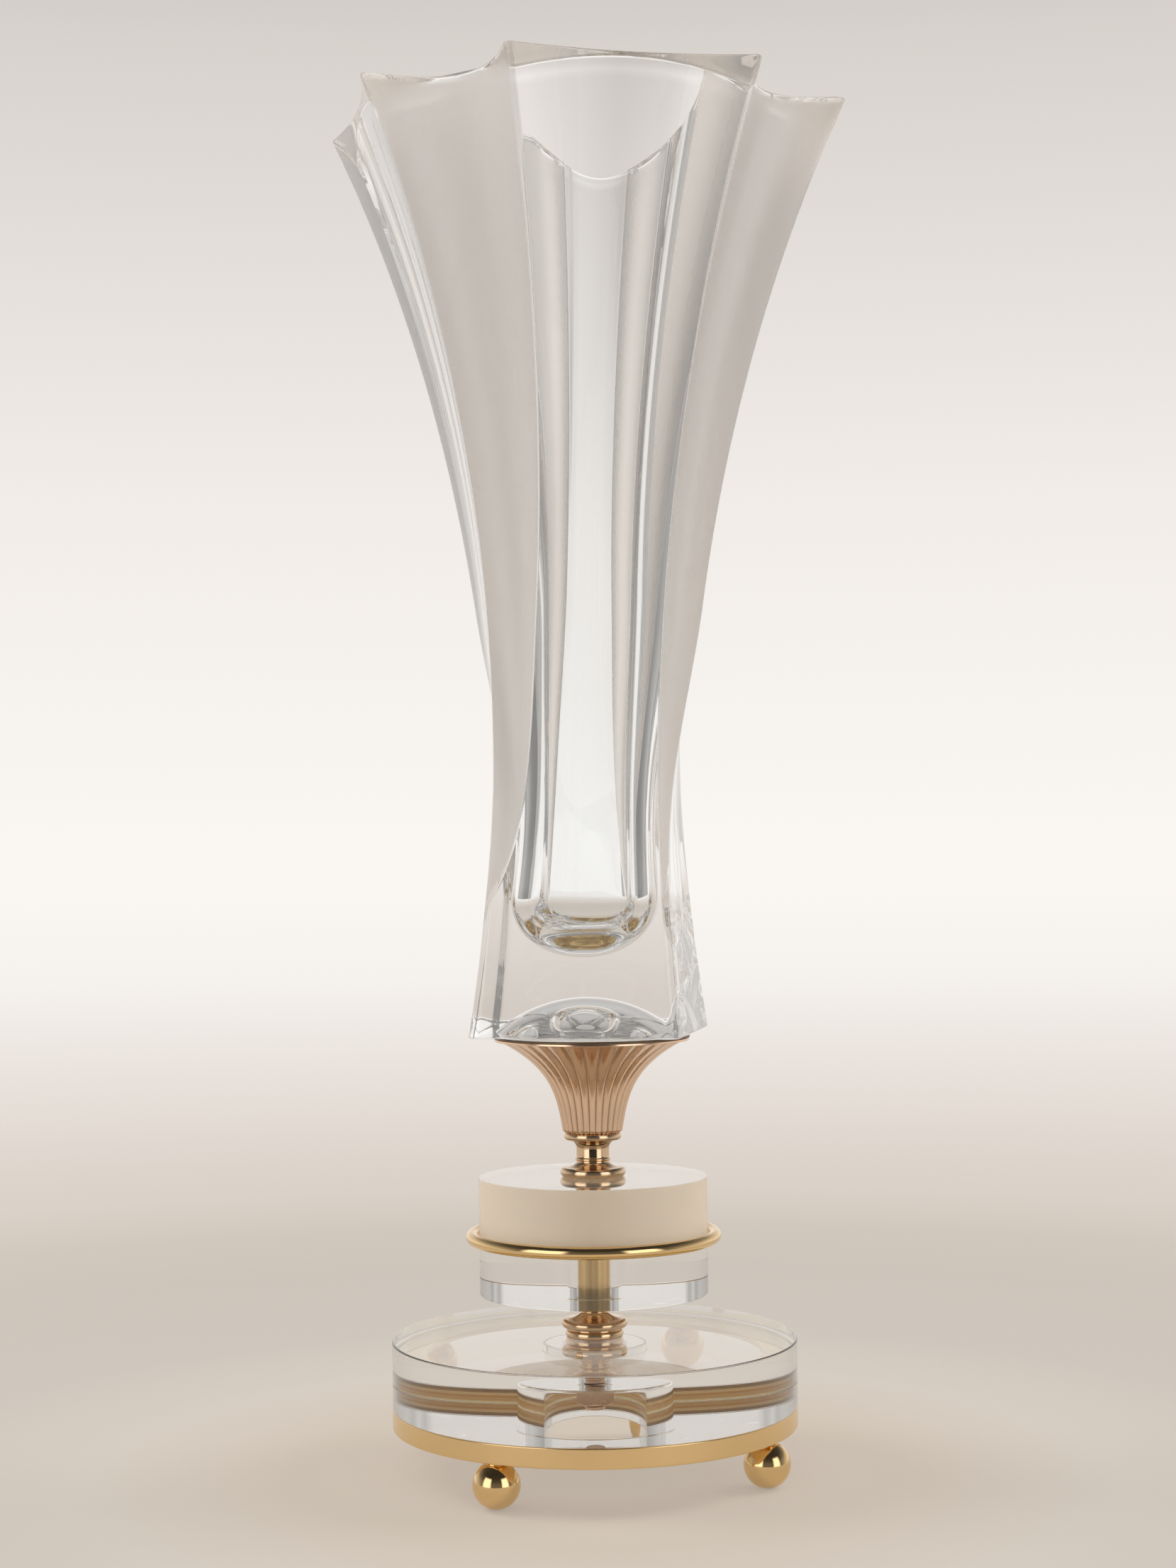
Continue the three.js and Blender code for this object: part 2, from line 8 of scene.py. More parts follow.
import bpy
import numpy as np
from bpy.props import FloatProperty, FloatVectorProperty, IntProperty, PointerProperty
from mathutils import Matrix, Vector


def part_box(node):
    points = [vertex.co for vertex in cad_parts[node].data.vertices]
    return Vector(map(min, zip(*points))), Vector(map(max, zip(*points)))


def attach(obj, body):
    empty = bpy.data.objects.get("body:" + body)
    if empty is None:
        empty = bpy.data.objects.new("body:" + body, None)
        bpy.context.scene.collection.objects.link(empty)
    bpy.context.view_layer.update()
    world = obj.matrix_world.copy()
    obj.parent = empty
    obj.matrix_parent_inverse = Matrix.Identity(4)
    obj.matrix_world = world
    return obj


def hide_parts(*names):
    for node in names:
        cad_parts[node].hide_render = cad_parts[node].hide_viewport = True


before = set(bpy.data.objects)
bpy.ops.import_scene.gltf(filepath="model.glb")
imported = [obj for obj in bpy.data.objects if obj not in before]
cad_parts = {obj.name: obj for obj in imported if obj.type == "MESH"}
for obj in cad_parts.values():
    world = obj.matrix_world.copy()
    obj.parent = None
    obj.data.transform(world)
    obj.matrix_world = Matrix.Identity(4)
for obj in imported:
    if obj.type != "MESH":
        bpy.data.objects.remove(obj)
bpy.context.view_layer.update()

bl_info = {
    "name": "Crystal vase on a brass and clear-disc stand",
    "version": (1, 0, 0),
    "blender": (4, 5, 0),
    "location": "3D View > Sidebar > Vase",
    "description": "Builds the crystal vase, its brass fittings, its clear and frosted discs and a studio",
    "category": "Add Mesh",
}

MM = 0.001
AIR = 0.04 * MM  # hair gap left between faces that rest on each other
ROD_GAP, SEAT_GAP, SLEEVE_GAP = 0.3 * MM, 0.3 * MM, 0.6 * MM
PAD_WIDTH, WEB_WIDTH = 3 * MM, 8.4 * MM
BEZEL_WALL, BEZEL_FLANGE = 1.2 * MM, 13 * MM
BALL_FLAT, BALL_NECK = 0.15 * MM, 4 * MM  # how far the balls are flattened, and the radius of their necks
STUD_RADIUS, STUD_HOLE = 1.5 * MM, 7.5 * MM
NUT_ACROSS, NUT_CHAMFER, NUT_FACE, NUT_SLOPE = 13 * MM, 0.9 * MM, 0.97, 1.35
THREAD_PITCH, THREAD_DEPTH, THREAD_RUN_OUT, ROWS_PER_PITCH = 1.25 * MM, 0.5 * MM, 0.6 * MM, 7


def span(node):
    """Radius, lowest and highest point of a turned node of the frame."""
    low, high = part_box(node)
    return high.x, low.z, high.z


def seat(node):
    """The same, less the hair gap that is left to the pieces below and above."""
    radius, low, high = span(node)
    return radius, low + AIR, high - AIR


def rod_bore():
    """Radius of the holes that the tie rod passes through."""
    return span("tie_rod")[0] + ROD_GAP


def size(name, default, description):
    return FloatProperty(name=name, default=default, description=description, min=0.0, unit="LENGTH")


def share(name, default, description):
    return FloatProperty(
        name=name, default=default, description=description, min=0.0, max=1.0, subtype="FACTOR")


def turn(name, degrees, description):
    return FloatProperty(name=name, default=math.radians(degrees), description=description, subtype="ANGLE")


def power(name, default, description):
    return FloatProperty(name=name, default=default, description=description, min=0.0, unit="POWER")


def colour(name, default, description):
    return FloatVectorProperty(
        name=name, default=default, description=description, subtype="COLOR", size=3, min=0.0, max=1.0)


# Sizes and colours that a user may change


CRYSTAL_FOOT, CRYSTAL_TOP = span("crystal_vase")[1:]


class CrystalSizes(bpy.types.PropertyGroup):
    """Shape of the crystal vase."""
    height: size("Height", CRYSTAL_TOP - CRYSTAL_FOOT, "Height of the crystal from its foot to its rim")
    foot_radius: size("Foot radius", 53 * MM, "Distance of the foot's corners from the axis")
    waist_radius: size("Waist radius", 42.8 * MM, "Distance of the ridges from the axis at the waist")
    rim_radius: size("Rim radius", 100 * MM, "Distance of the star's tips from the axis")
    waist_height: size("Waist height", 95 * MM, "Height of the waist above the crystal's foot")
    flute_start: size("Flute start", 48.5 * MM, "Height at which the frosted flutes begin")
    turned_by: turn("Turn", 32.5, "Direction of the first ridge at the foot")
    twist: turn("Twist", 6.3, "How far the ridges lean round between foot and rim")
    flute_angle: turn("Flute angle", 36, "Angle across one flute at the rim")
    corner_angle: turn("Corner angle", 3.5, "Angle across one blunt corner of the foot")
    wall: size("Wall", 5.8 * MM, "Thickness of the clear faces")
    cavity_floor: size("Solid foot", 27 * MM, "Thickness of solid crystal under the hollow")
    punt_depth: size("Punt depth", 12 * MM, "Depth of the dome ground into the underside")


class StandSizes(bpy.types.PropertyGroup):
    """Sizes of the metal and disc stand."""
    base_radius: size("Base radius", span("base_bezel")[0], "Radius of the base disc and its bezel")
    disc_radius: size("Disc radius", span("clear_disc")[0], "Radius of the clear and frosted discs")
    bead_radius: size("Band bead", 2.35 * MM, "Radius of the rounded bead of the brass band")
    ball_radius: size("Ball radius", 8.5 * MM, "Radius of the ball feet")
    cup_foot_radius: size("Cup foot radius", 11 * MM, "Radius of the ribbed cup where it meets its collar")
    cup_rim_radius: size("Cup rim radius", 36.2 * MM, "Radius of the ribbed cup at its rim")
    cup_ribs: IntProperty(name="Cup ribs", default=30, min=8, description="Number of ribs round the cup")
    recess_radius: size("Recess radius", 19.2 * MM, "Radius of the nut's well under the base disc")
    recess_depth: size("Recess depth", 17.3 * MM, "Depth of the nut's well under the base disc")


class FinishColours(bpy.types.PropertyGroup):
    """Colours and polish of the finishes."""
    crystal: colour("Crystal", (0.99, 0.998, 1.0), "Tint of the cut crystal")
    satin_flute: colour("Satin flute", (0.99, 0.945, 0.895), "Tint of the frosted flutes")
    crystal_frost: share("Crystal frost", 0.72, "Roughness of the frosted flutes")
    clear_disc: colour("Clear disc", (0.995, 1.0, 0.995), "Tint of the clear discs")
    frosted_disc: colour("Frosted disc", (0.865, 0.775, 0.65), "Tint of the frosted disc")
    disc_frost: share("Disc frost", 0.85, "Roughness of the frosted disc's side")
    gold: colour("Polished brass", (0.87, 0.63, 0.32), "Colour of the polished brass")
    rose: colour("Rose brass", (0.74, 0.55, 0.36), "Colour of the collars")
    satin: colour("Satin brass", (0.76, 0.545, 0.385), "Colour of the ribbed cup, rod and nuts")
    zinc: colour("Zinc", (0.56, 0.57, 0.58), "Colour of the zinc-plated studs")
    silicone: colour("Silicone", (0.95, 0.94, 0.92), "Tint of the clear pad under the crystal")


class StudioSettings(bpy.types.PropertyGroup):
    """Floor, light and camera."""
    floor_near: colour("Floor", (0.60, 0.525, 0.45), "Colour of the floor under the vase")
    lamp_power: power("Lamp power", 15.0, "Power of each soft box")
    camera_distance: size("Camera distance", 963 * MM, "Distance of the camera from the axis")
    camera_height: size("Camera height", 226.6 * MM, "Height of the camera above the floor")
    camera_roll: turn("Camera roll", 0.57, "How far the camera is turned about its line of sight")


# Grids and profiles


def eased(corners, ease, steps=5):
    """Rounds the corners of a closed profile. Each corner becomes the parabola that leaves the edge
    before it and joins the edge after it at the given distance, (1-t)^2 A + 2t(1-t) P + t^2 B.
    One more point lies half that distance further out on each edge, so that flat faces shade flat."""
    corners = np.asarray(corners, float)
    ease = np.broadcast_to(np.asarray(ease, float), len(corners))[:, None, None]
    before = np.roll(corners, 1, axis=0) - corners
    after = np.roll(corners, -1, axis=0) - corners
    before = (before / np.linalg.norm(before, axis=1, keepdims=True))[:, None, :]
    after = (after / np.linalg.norm(after, axis=1, keepdims=True))[:, None, :]
    middle = corners[:, None, :]
    t = np.linspace(0, 1, steps)[None, :, None]
    curve = middle + ease * ((1 - t) ** 2 * before + t ** 2 * after)
    points = np.concatenate([middle + 1.5 * ease * before, curve, middle + 1.5 * ease * after], axis=1)
    return distinct(points.reshape(-1, 2))


def distinct(points):
    """Leaves out every point that falls on the one before it."""
    step = np.abs(points - np.roll(points, 1, axis=0)).max(axis=1)
    return points[step > 1e-7]


def softened(corners, spacing=0.16 * MM, reach=0.22 * MM):
    """Walks round a closed profile in even steps and blurs the walk with a bell curve of the given
    reach, so that every turned corner gets the same small radius and straight runs stay straight."""
    corners = distinct(np.asarray(corners, float))
    ring = np.vstack([corners, corners[:1]])
    along = np.concatenate([[0], np.cumsum(np.linalg.norm(np.diff(ring, axis=0), axis=1))])
    count = int(along[-1] / spacing)
    where = np.arange(count) * along[-1] / count
    walk = np.stack([np.interp(where, along, ring[:, 0]), np.interp(where, along, ring[:, 1])], axis=1)
    offset = np.minimum(np.arange(count), count - np.arange(count)) * along[-1] / count
    bell = np.exp(-0.5 * (offset / reach) ** 2)
    bell /= bell.sum()
    blurred = np.fft.ifft(np.fft.fft(walk, axis=0) * np.fft.fft(bell)[:, None], axis=0)
    return blurred.real


def arc(centre_radius, centre_height, out, up, start, end, steps=14):
    """Points of an ellipse: centre + (out cos a, up sin a), for a from start to end in degrees."""
    angle = np.radians(np.linspace(start, end, steps + 1))
    return np.stack([centre_radius + out * np.cos(angle), centre_height + up * np.sin(angle)], axis=1)


def round_edge(radius, low, high, bulge):
    """A half ellipse that swells by the bulge between two heights."""
    return arc(radius, (low + high) / 2, bulge, (high - low) / 2, -90, 90)


def outline(*parts):
    """Joins runs of points into one closed profile."""
    return distinct(np.vstack([np.atleast_2d(part) for part in parts]))


def ring_profile(inner, outer, low, high, ease):
    """A closed rectangle of radius and height with rounded corners."""
    return eased([[inner, low], [outer, low], [outer, high], [inner, high]], ease)


def full_turn(columns):
    """Even angles round the circle, 2 pi times column / columns."""
    return np.arange(columns) * 2 * math.pi / columns


def polar(radius, angle):
    """x = radius cos angle and y = radius sin angle, rows by columns by xy."""
    return np.stack([radius * np.cos(angle), radius * np.sin(angle)], axis=2)


def lifted(rings, heights):
    """Adds to each xy point its height, given by row and column or as one column for the whole row."""
    level = np.broadcast_to(heights, rings.shape[:2])[..., None]
    return np.concatenate([rings, level], axis=2)


def turned(profile, sides):
    """Carries a profile round the axis: x = r cos a, y = r sin a, z = height."""
    return lifted(polar(profile[:, :1], full_turn(sides)), profile[:, 1:])


def from_axis(rows):
    """Distance of every grid point from the Z axis."""
    return np.hypot(rows[..., 0], rows[..., 1])


def skin(name, rows, looped=True, marks=None, crease=32):
    """Covers a grid of points, rows by columns by xyz, with faces. The columns close on themselves.
    A looped grid also joins its last row to its first. Otherwise a first or last row that has shrunk
    to a point becomes one pole. marks maps attribute names to a value for every grid point."""
    count, columns, _ = rows.shape
    keep = np.ones((count, columns), bool)
    poles = []
    if not looped:
        poles = [row for row in (0, count - 1) if np.ptp(rows[row], axis=0).max() < 1e-9]
        keep[poles, 1:] = False
    index = np.cumsum(keep).reshape(count, columns) - 1
    for row in poles:
        index[row] = index[row, 0]
    lower = index if looped else index[:-1]
    upper = np.roll(index, -1, axis=0) if looped else index[1:]
    quads = np.stack([lower, np.roll(lower, -1, axis=1), np.roll(upper, -1, axis=1), upper], axis=2)
    faces = []
    if 0 in poles:
        faces += quads[0][:, [0, 2, 3]].tolist()
        quads = quads[1:]
    if poles and poles[-1] == count - 1:
        faces += quads[-1][:, :3].tolist()
        quads = quads[:-1]
    faces += quads.reshape(-1, 4).tolist()
    mesh = bpy.data.meshes.new(name)
    mesh.from_pydata(rows[keep].tolist(), [], faces)
    for mark, values in (marks or {}).items():
        attribute = mesh.attributes.new(mark, "FLOAT", "POINT")
        attribute.data.foreach_set("value", values[keep].astype(np.float32))
    mesh.shade_smooth()
    mesh.set_sharp_from_angle(angle=math.radians(crease))
    mesh.update()
    piece = bpy.data.objects.new(name, mesh)
    bpy.context.scene.collection.objects.link(piece)
    return piece


def place(piece, node, slot, finish):
    """Dresses a piece, attaches it to the root body and hides the node it stands for."""
    piece.data.materials.append(finish)
    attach(piece, "root")
    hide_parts(node)
    return piece


# Finishes

# Noise scales in waves per metre
DRIFT, SMEAR, LATHE = 38.0, 210.0, 5200.0  # tone, polish and turning marks of the metal
PAINTED_RING_WAVER, PAINTED_REFLECTION_STREAKS = 700.0, 420.0  # painted reflections inside the bezel and on the tube in the clear disc
RIPPLE, FLUTE_GRAIN = 46.0, 900.0  # polished and frosted crystal
CAST_DRIFT, DISC_GRAIN, CLOUD = 120.0, 1400.0, 300.0  # clear discs, frosted disc and silicone
CUP_DRIFT, CUP_GRAIN = 90.0, 1500.0


class Nodes:
    """A node tree and short ways to add to it. position is where a point lies, or in a world the
    direction in which it is seen."""

    def __init__(self, tree, place="Object"):
        self.tree = tree
        self.position = self.node("ShaderNodeTexCoord").outputs[place]

    def node(self, kind, links=None, **settings):
        """Adds a node. links maps its sockets to an output or to a plain value."""
        made = self.tree.nodes.new(kind)
        for setting, value in settings.items():
            setattr(made, setting, value)
        for socket, source in (links or {}).items():
            if isinstance(source, bpy.types.NodeSocket):
                self.tree.links.new(source, made.inputs[socket])
            else:
                made.inputs[socket].default_value = source
        return made

    def math(self, operation, first, second=0.0):
        return self.node("ShaderNodeMath", {0: first, 1: second}, operation=operation).outputs[0]

    def times(self, first, second):
        return self.math("MULTIPLY", first, second)

    def path(self, name):
        """What the renderer tells of the ray."""
        return self.node("ShaderNodeLightPath").outputs[name]

    def axes(self):
        """The three coordinates of the position."""
        return self.node("ShaderNodeSeparateXYZ", {"Vector": self.position}).outputs

    def reach(self, axes, least=0.0):
        """sqrt(x^2 + y^2 + least)."""
        squares = [self.times(axes[name], axes[name]) for name in ("X", "Y")]
        return self.math("SQRT", self.math("ADD", self.math("ADD", *squares), least))

    def between(self, source, low, high, from_low=0.0, from_high=1.0):
        """Maps a value from one range to another and holds it at the ends."""
        links = {"Value": source, "From Min": from_low, "From Max": from_high, "To Min": low, "To Max": high}
        return self.node("ShaderNodeMapRange", links).outputs["Result"]

    def noise(self, scale, detail=3.0, roughness=0.5, vector=None):
        vector = self.position if vector is None else vector
        links = {"Vector": vector, "Scale": scale, "Detail": detail, "Roughness": roughness}
        return self.node("ShaderNodeTexNoise", links).outputs["Fac"]

    def wander(self, low, high, *noise):
        """Noise that wanders between two values."""
        return self.between(self.noise(*noise), low, high, 0.3, 0.7)

    def blend(self, factor, first, second):
        """The first colour where the factor is 0 and the second where it is 1."""
        return self.node("ShaderNodeMix", {0: factor, 6: first, 7: second}, data_type="RGBA").outputs[2]

    def ramp(self, factor, stops):
        """A colour ramp through (position, colour) stops."""
        made = self.node("ShaderNodeValToRGB", {"Fac": factor})
        elements = made.color_ramp.elements
        while len(elements) < len(stops):
            elements.new(0.5)
        for element, (position, rgba) in zip(elements, stops):
            element.position, element.color = position, rgba
        return made.outputs["Color"]


class Finish(Nodes):
    """A material of one Principled shader and the nodes that feed it."""

    def __init__(self, name, **sockets):
        self.material = bpy.data.materials.new(name)
        self.material.use_nodes = True
        super().__init__(self.material.node_tree)
        self.shader = self.tree.nodes["Principled BSDF"]
        for socket, value in sockets.items():
            self.shader.inputs[socket.replace("_", " ")].default_value = value

    def feed(self, socket, source):
        self.tree.links.new(source, self.shader.inputs[socket])

    def ground(self, frost, spread, scale, roughness):
        """Roughness where the frost mark is set, varied by a fine grain."""
        grain = self.times(frost, self.wander(1 - spread, 1 + spread, scale, 2.0))
        self.feed("Roughness", self.times(grain, roughness))

    def mark(self, name):
        return self.node("ShaderNodeAttribute", attribute_name=name).outputs["Fac"]

    def upward(self):
        """1 where the surface looks up, else 0."""
        normal = self.node("ShaderNodeNewGeometry").outputs["Normal"]
        up = self.node("ShaderNodeSeparateXYZ", {"Vector": normal}).outputs["Z"]
        return self.between(up, 0.0, 1.0, 0.5, 0.9)

    def turning_lines(self, scale=LATHE):
        """Noise of radius and height alone, so that it runs round the piece as lathe marks do."""
        axes = self.axes()
        across = self.node("ShaderNodeCombineXYZ", {"X": self.reach(axes), "Y": axes["Z"]})
        return self.noise(scale, 2.0, vector=across.outputs["Vector"])

    def bump(self, height, strength, distance=0.02 * MM):
        links = {"Height": height, "Strength": strength, "Distance": distance}
        self.feed("Normal", self.node("ShaderNodeBump", links).outputs["Normal"])


def opaque(rgb, factor=1.0):
    return (rgb[0] * factor, rgb[1] * factor, rgb[2] * factor, 1.0)


def metal_finish(name, rgb, smooth, rough, lines=0.0):
    """Metal whose tone and polish drift a little, with faint lathe marks round the axis."""
    made = Finish(name, Metallic=1.0)
    made.feed("Base Color", made.blend(made.noise(DRIFT), opaque(rgb, 0.92), opaque(rgb)))
    made.feed("Roughness", made.wander(smooth, rough, SMEAR, 4.0, 0.6))
    if lines:
        made.bump(made.turning_lines(), lines)
    return made.material


# Painted reflections on the bezel's inside, as colours by the share of its height
BEZEL_PAINTED_REFLECTIONS = [
    (0.0, (1.0, 0.8, 0.42)), (0.1, (1.0, 0.76, 0.38)), (0.3, (0.74, 0.36, 0.09)), (0.42, (0.8, 0.4, 0.11)),
    (0.6, (1.0, 0.78, 0.42)), (0.78, (0.76, 0.4, 0.12)), (0.9, (0.46, 0.27, 0.12)), (1.0, (0.4, 0.24, 0.11))]


def bezel_finish(colours):
    """Polished outside. Inside, where the inside mark is set, satin with painted reflections in rings from
    gold at its foot to dark at its rim."""
    made = Finish("bezel_brass")
    inside = made.mark("inside")
    outer = made.blend(made.noise(DRIFT), opaque(colours.gold, 0.94), opaque(colours.gold, 1.02))
    climb = made.between(made.axes()["Z"], 0.0, 1.0, span("base_disc")[1], span("base_bezel")[2])
    waver = made.between(made.turning_lines(PAINTED_RING_WAVER), -0.12, 0.12, 0.4, 0.6)
    # painted reflections: rings of gold and dark up the inner wall
    inner = made.ramp(made.math("ADD", climb, waver), [(at, opaque(rgb)) for at, rgb in BEZEL_PAINTED_REFLECTIONS])
    made.feed("Base Color", made.blend(inside, outer, inner))
    made.feed("Metallic", made.between(inside, 1.0, 0.1))
    made.feed("Roughness", made.between(inside, 0.2, 0.3))
    made.bump(made.turning_lines(), 0.25)
    return made.material


def sleeve_finish(colours):
    """Drawn brass tube. Darker and lighter streaks along it are painted reflections; they also vary its
    polish.
    """
    made = Finish("sleeve_brass", Metallic=1.0)
    axes = made.axes()
    across = made.node("ShaderNodeCombineXYZ", {"X": axes["X"], "Y": axes["Y"]}).outputs["Vector"]
    painted_reflection_streaks = made.noise(PAINTED_REFLECTION_STREAKS, vector=across)
    # painted reflections: the streaks make the tube's colour darker or lighter
    lit = made.between(painted_reflection_streaks, 0.0, 1.0, 0.38, 0.62)
    made.feed("Base Color", made.blend(lit, opaque(colours.gold, 0.6), opaque(colours.gold, 1.06)))
    made.feed("Roughness", made.between(painted_reflection_streaks, 0.12, 0.24, 0.3, 0.7))
    return made.material


def crystal_finish(colours):
    """Cut crystal: polished, with frosted flutes where the frost mark is set."""
    made = Finish("cut_crystal", Transmission_Weight=1.0, IOR=1.53)
    frost = made.mark("frost")
    made.feed("Base Color", made.blend(frost, opaque(colours.crystal), opaque(colours.satin_flute)))
    made.ground(frost, 0.15, FLUTE_GRAIN, colours.crystal_frost)
    made.bump(made.noise(RIPPLE, 1.0), 0.05, 0.4 * MM)
    return made.material


def clear_disc_finish(colours):
    """Clear cast disc with a polish that drifts very slightly."""
    made = Finish("clear_acrylic", Transmission_Weight=1.0, IOR=1.49, Base_Color=opaque(colours.clear_disc))
    made.feed("Coat Weight", made.times(made.upward(), 0.45))
    made.feed("Roughness", made.between(made.noise(CAST_DRIFT), 0.0, 0.004, 0.4, 0.7))
    return made.material


def frosted_disc_finish(colours):
    """Cast disc with a polished top. Side and underside are ground, where the frost mark is set."""
    made = Finish("frosted_acrylic", IOR=1.49)
    frost = made.mark("frost")
    made.feed("Coat Weight", made.upward())
    made.feed("Base Color", made.blend(frost, opaque(colours.clear_disc), opaque(colours.frosted_disc)))
    made.feed("Transmission Weight", made.between(frost, 1.0, 0.55))
    made.ground(frost, 0.1, DISC_GRAIN, colours.disc_frost)
    return made.material


def groove_shade_finish(name, bright, dark, smooth, rough):
    """Satin brass that turns darker and duller where the groove mark is set: painted shade."""
    made = Finish(name, Metallic=1.0)
    # painted shade where the groove mark is set, mixed with a random drift of tone
    drift_and_painted_shade = made.math("MAXIMUM", made.wander(0.0, 0.2, CUP_DRIFT, 4.0), made.mark("groove"))
    made.feed("Base Color", made.blend(drift_and_painted_shade, bright, dark))
    made.feed("Roughness", made.between(drift_and_painted_shade, smooth, rough))
    made.bump(made.noise(CUP_GRAIN, 2.0), 0.08, 0.03 * MM)
    return made.material


def cup_finish(colours):
    """Darker and duller between the ribs: painted shade in the grooves."""
    bright, dark = opaque(colours.satin, 1.16), opaque(colours.satin, 0.74)
    return groove_shade_finish("satin_cup_brass", bright, dark, 0.17, 0.34)


def plate_finish(colours):
    """Bright under the crystal and dark at its thin edge, a painted shadow."""
    return groove_shade_finish("plate_brass", opaque(colours.gold), opaque(colours.satin, 0.28), 0.12, 0.45)


def silicone_finish(colours):
    """Clear silicone, slightly cloudy."""
    made = Finish("clear_silicone", Transmission_Weight=0.15, IOR=1.41)
    cloud = made.noise(CLOUD)
    made.feed("Base Color", made.blend(cloud, opaque(colours.silicone, 0.93), opaque(colours.silicone)))
    made.feed("Roughness", made.between(cloud, 0.25, 0.45))
    return made.material


# Crystal vase

CRYSTAL_ROWS = 190
HOLLOW_STEPS = 22
FOOT_POWER, RIM_POWER = 1.6, 2.1
FLUTE_RISE, FLUTE_SOFTNESS = 3.4, 0.95
FLUTE_SHOULDER, FLUTE_TOE = 108 * MM, 20 * MM
FLUTE_DEPTH_START, FLUTE_DEPTH_RIM, FACE_DEPTH_RIM = 0.12, 0.285, 0.054
FOOT_BEVEL, RIM_BEVEL = 0.8 * MM, 1.2 * MM
EASE_FOOT, EASE_BODY, EASE_RIM = 2.2 * MM, 0.6 * MM, 3.0 * MM
EASE_FOOT_REACH, EASE_RIM_START, EASE_LIMIT = 60 * MM, 0.6, 0.42
CAVITY_ROUND, CAVITY_ROUNDNESS = 24 * MM, 2.0
CORNER_BULGE, RIM_PINCH = 3.2 * MM, 6 * MM
PUNT_RIM = 5.6 * MM
FROST_LEAN = 12 * MM
RIM_SATIN = 0.12
RIM_SCALLOP, SCALLOP_REACH = 1.8 * MM, 14 * MM
RIDGE_STEPS = 5


def smoothstep(value, low, high):
    """t^2 (3 - 2t) of the share t of the way from low to high, held at 0 and 1 beyond them."""
    t = np.clip((value - low) / (high - low), 0, 1)
    return t * t * (3 - 2 * t)


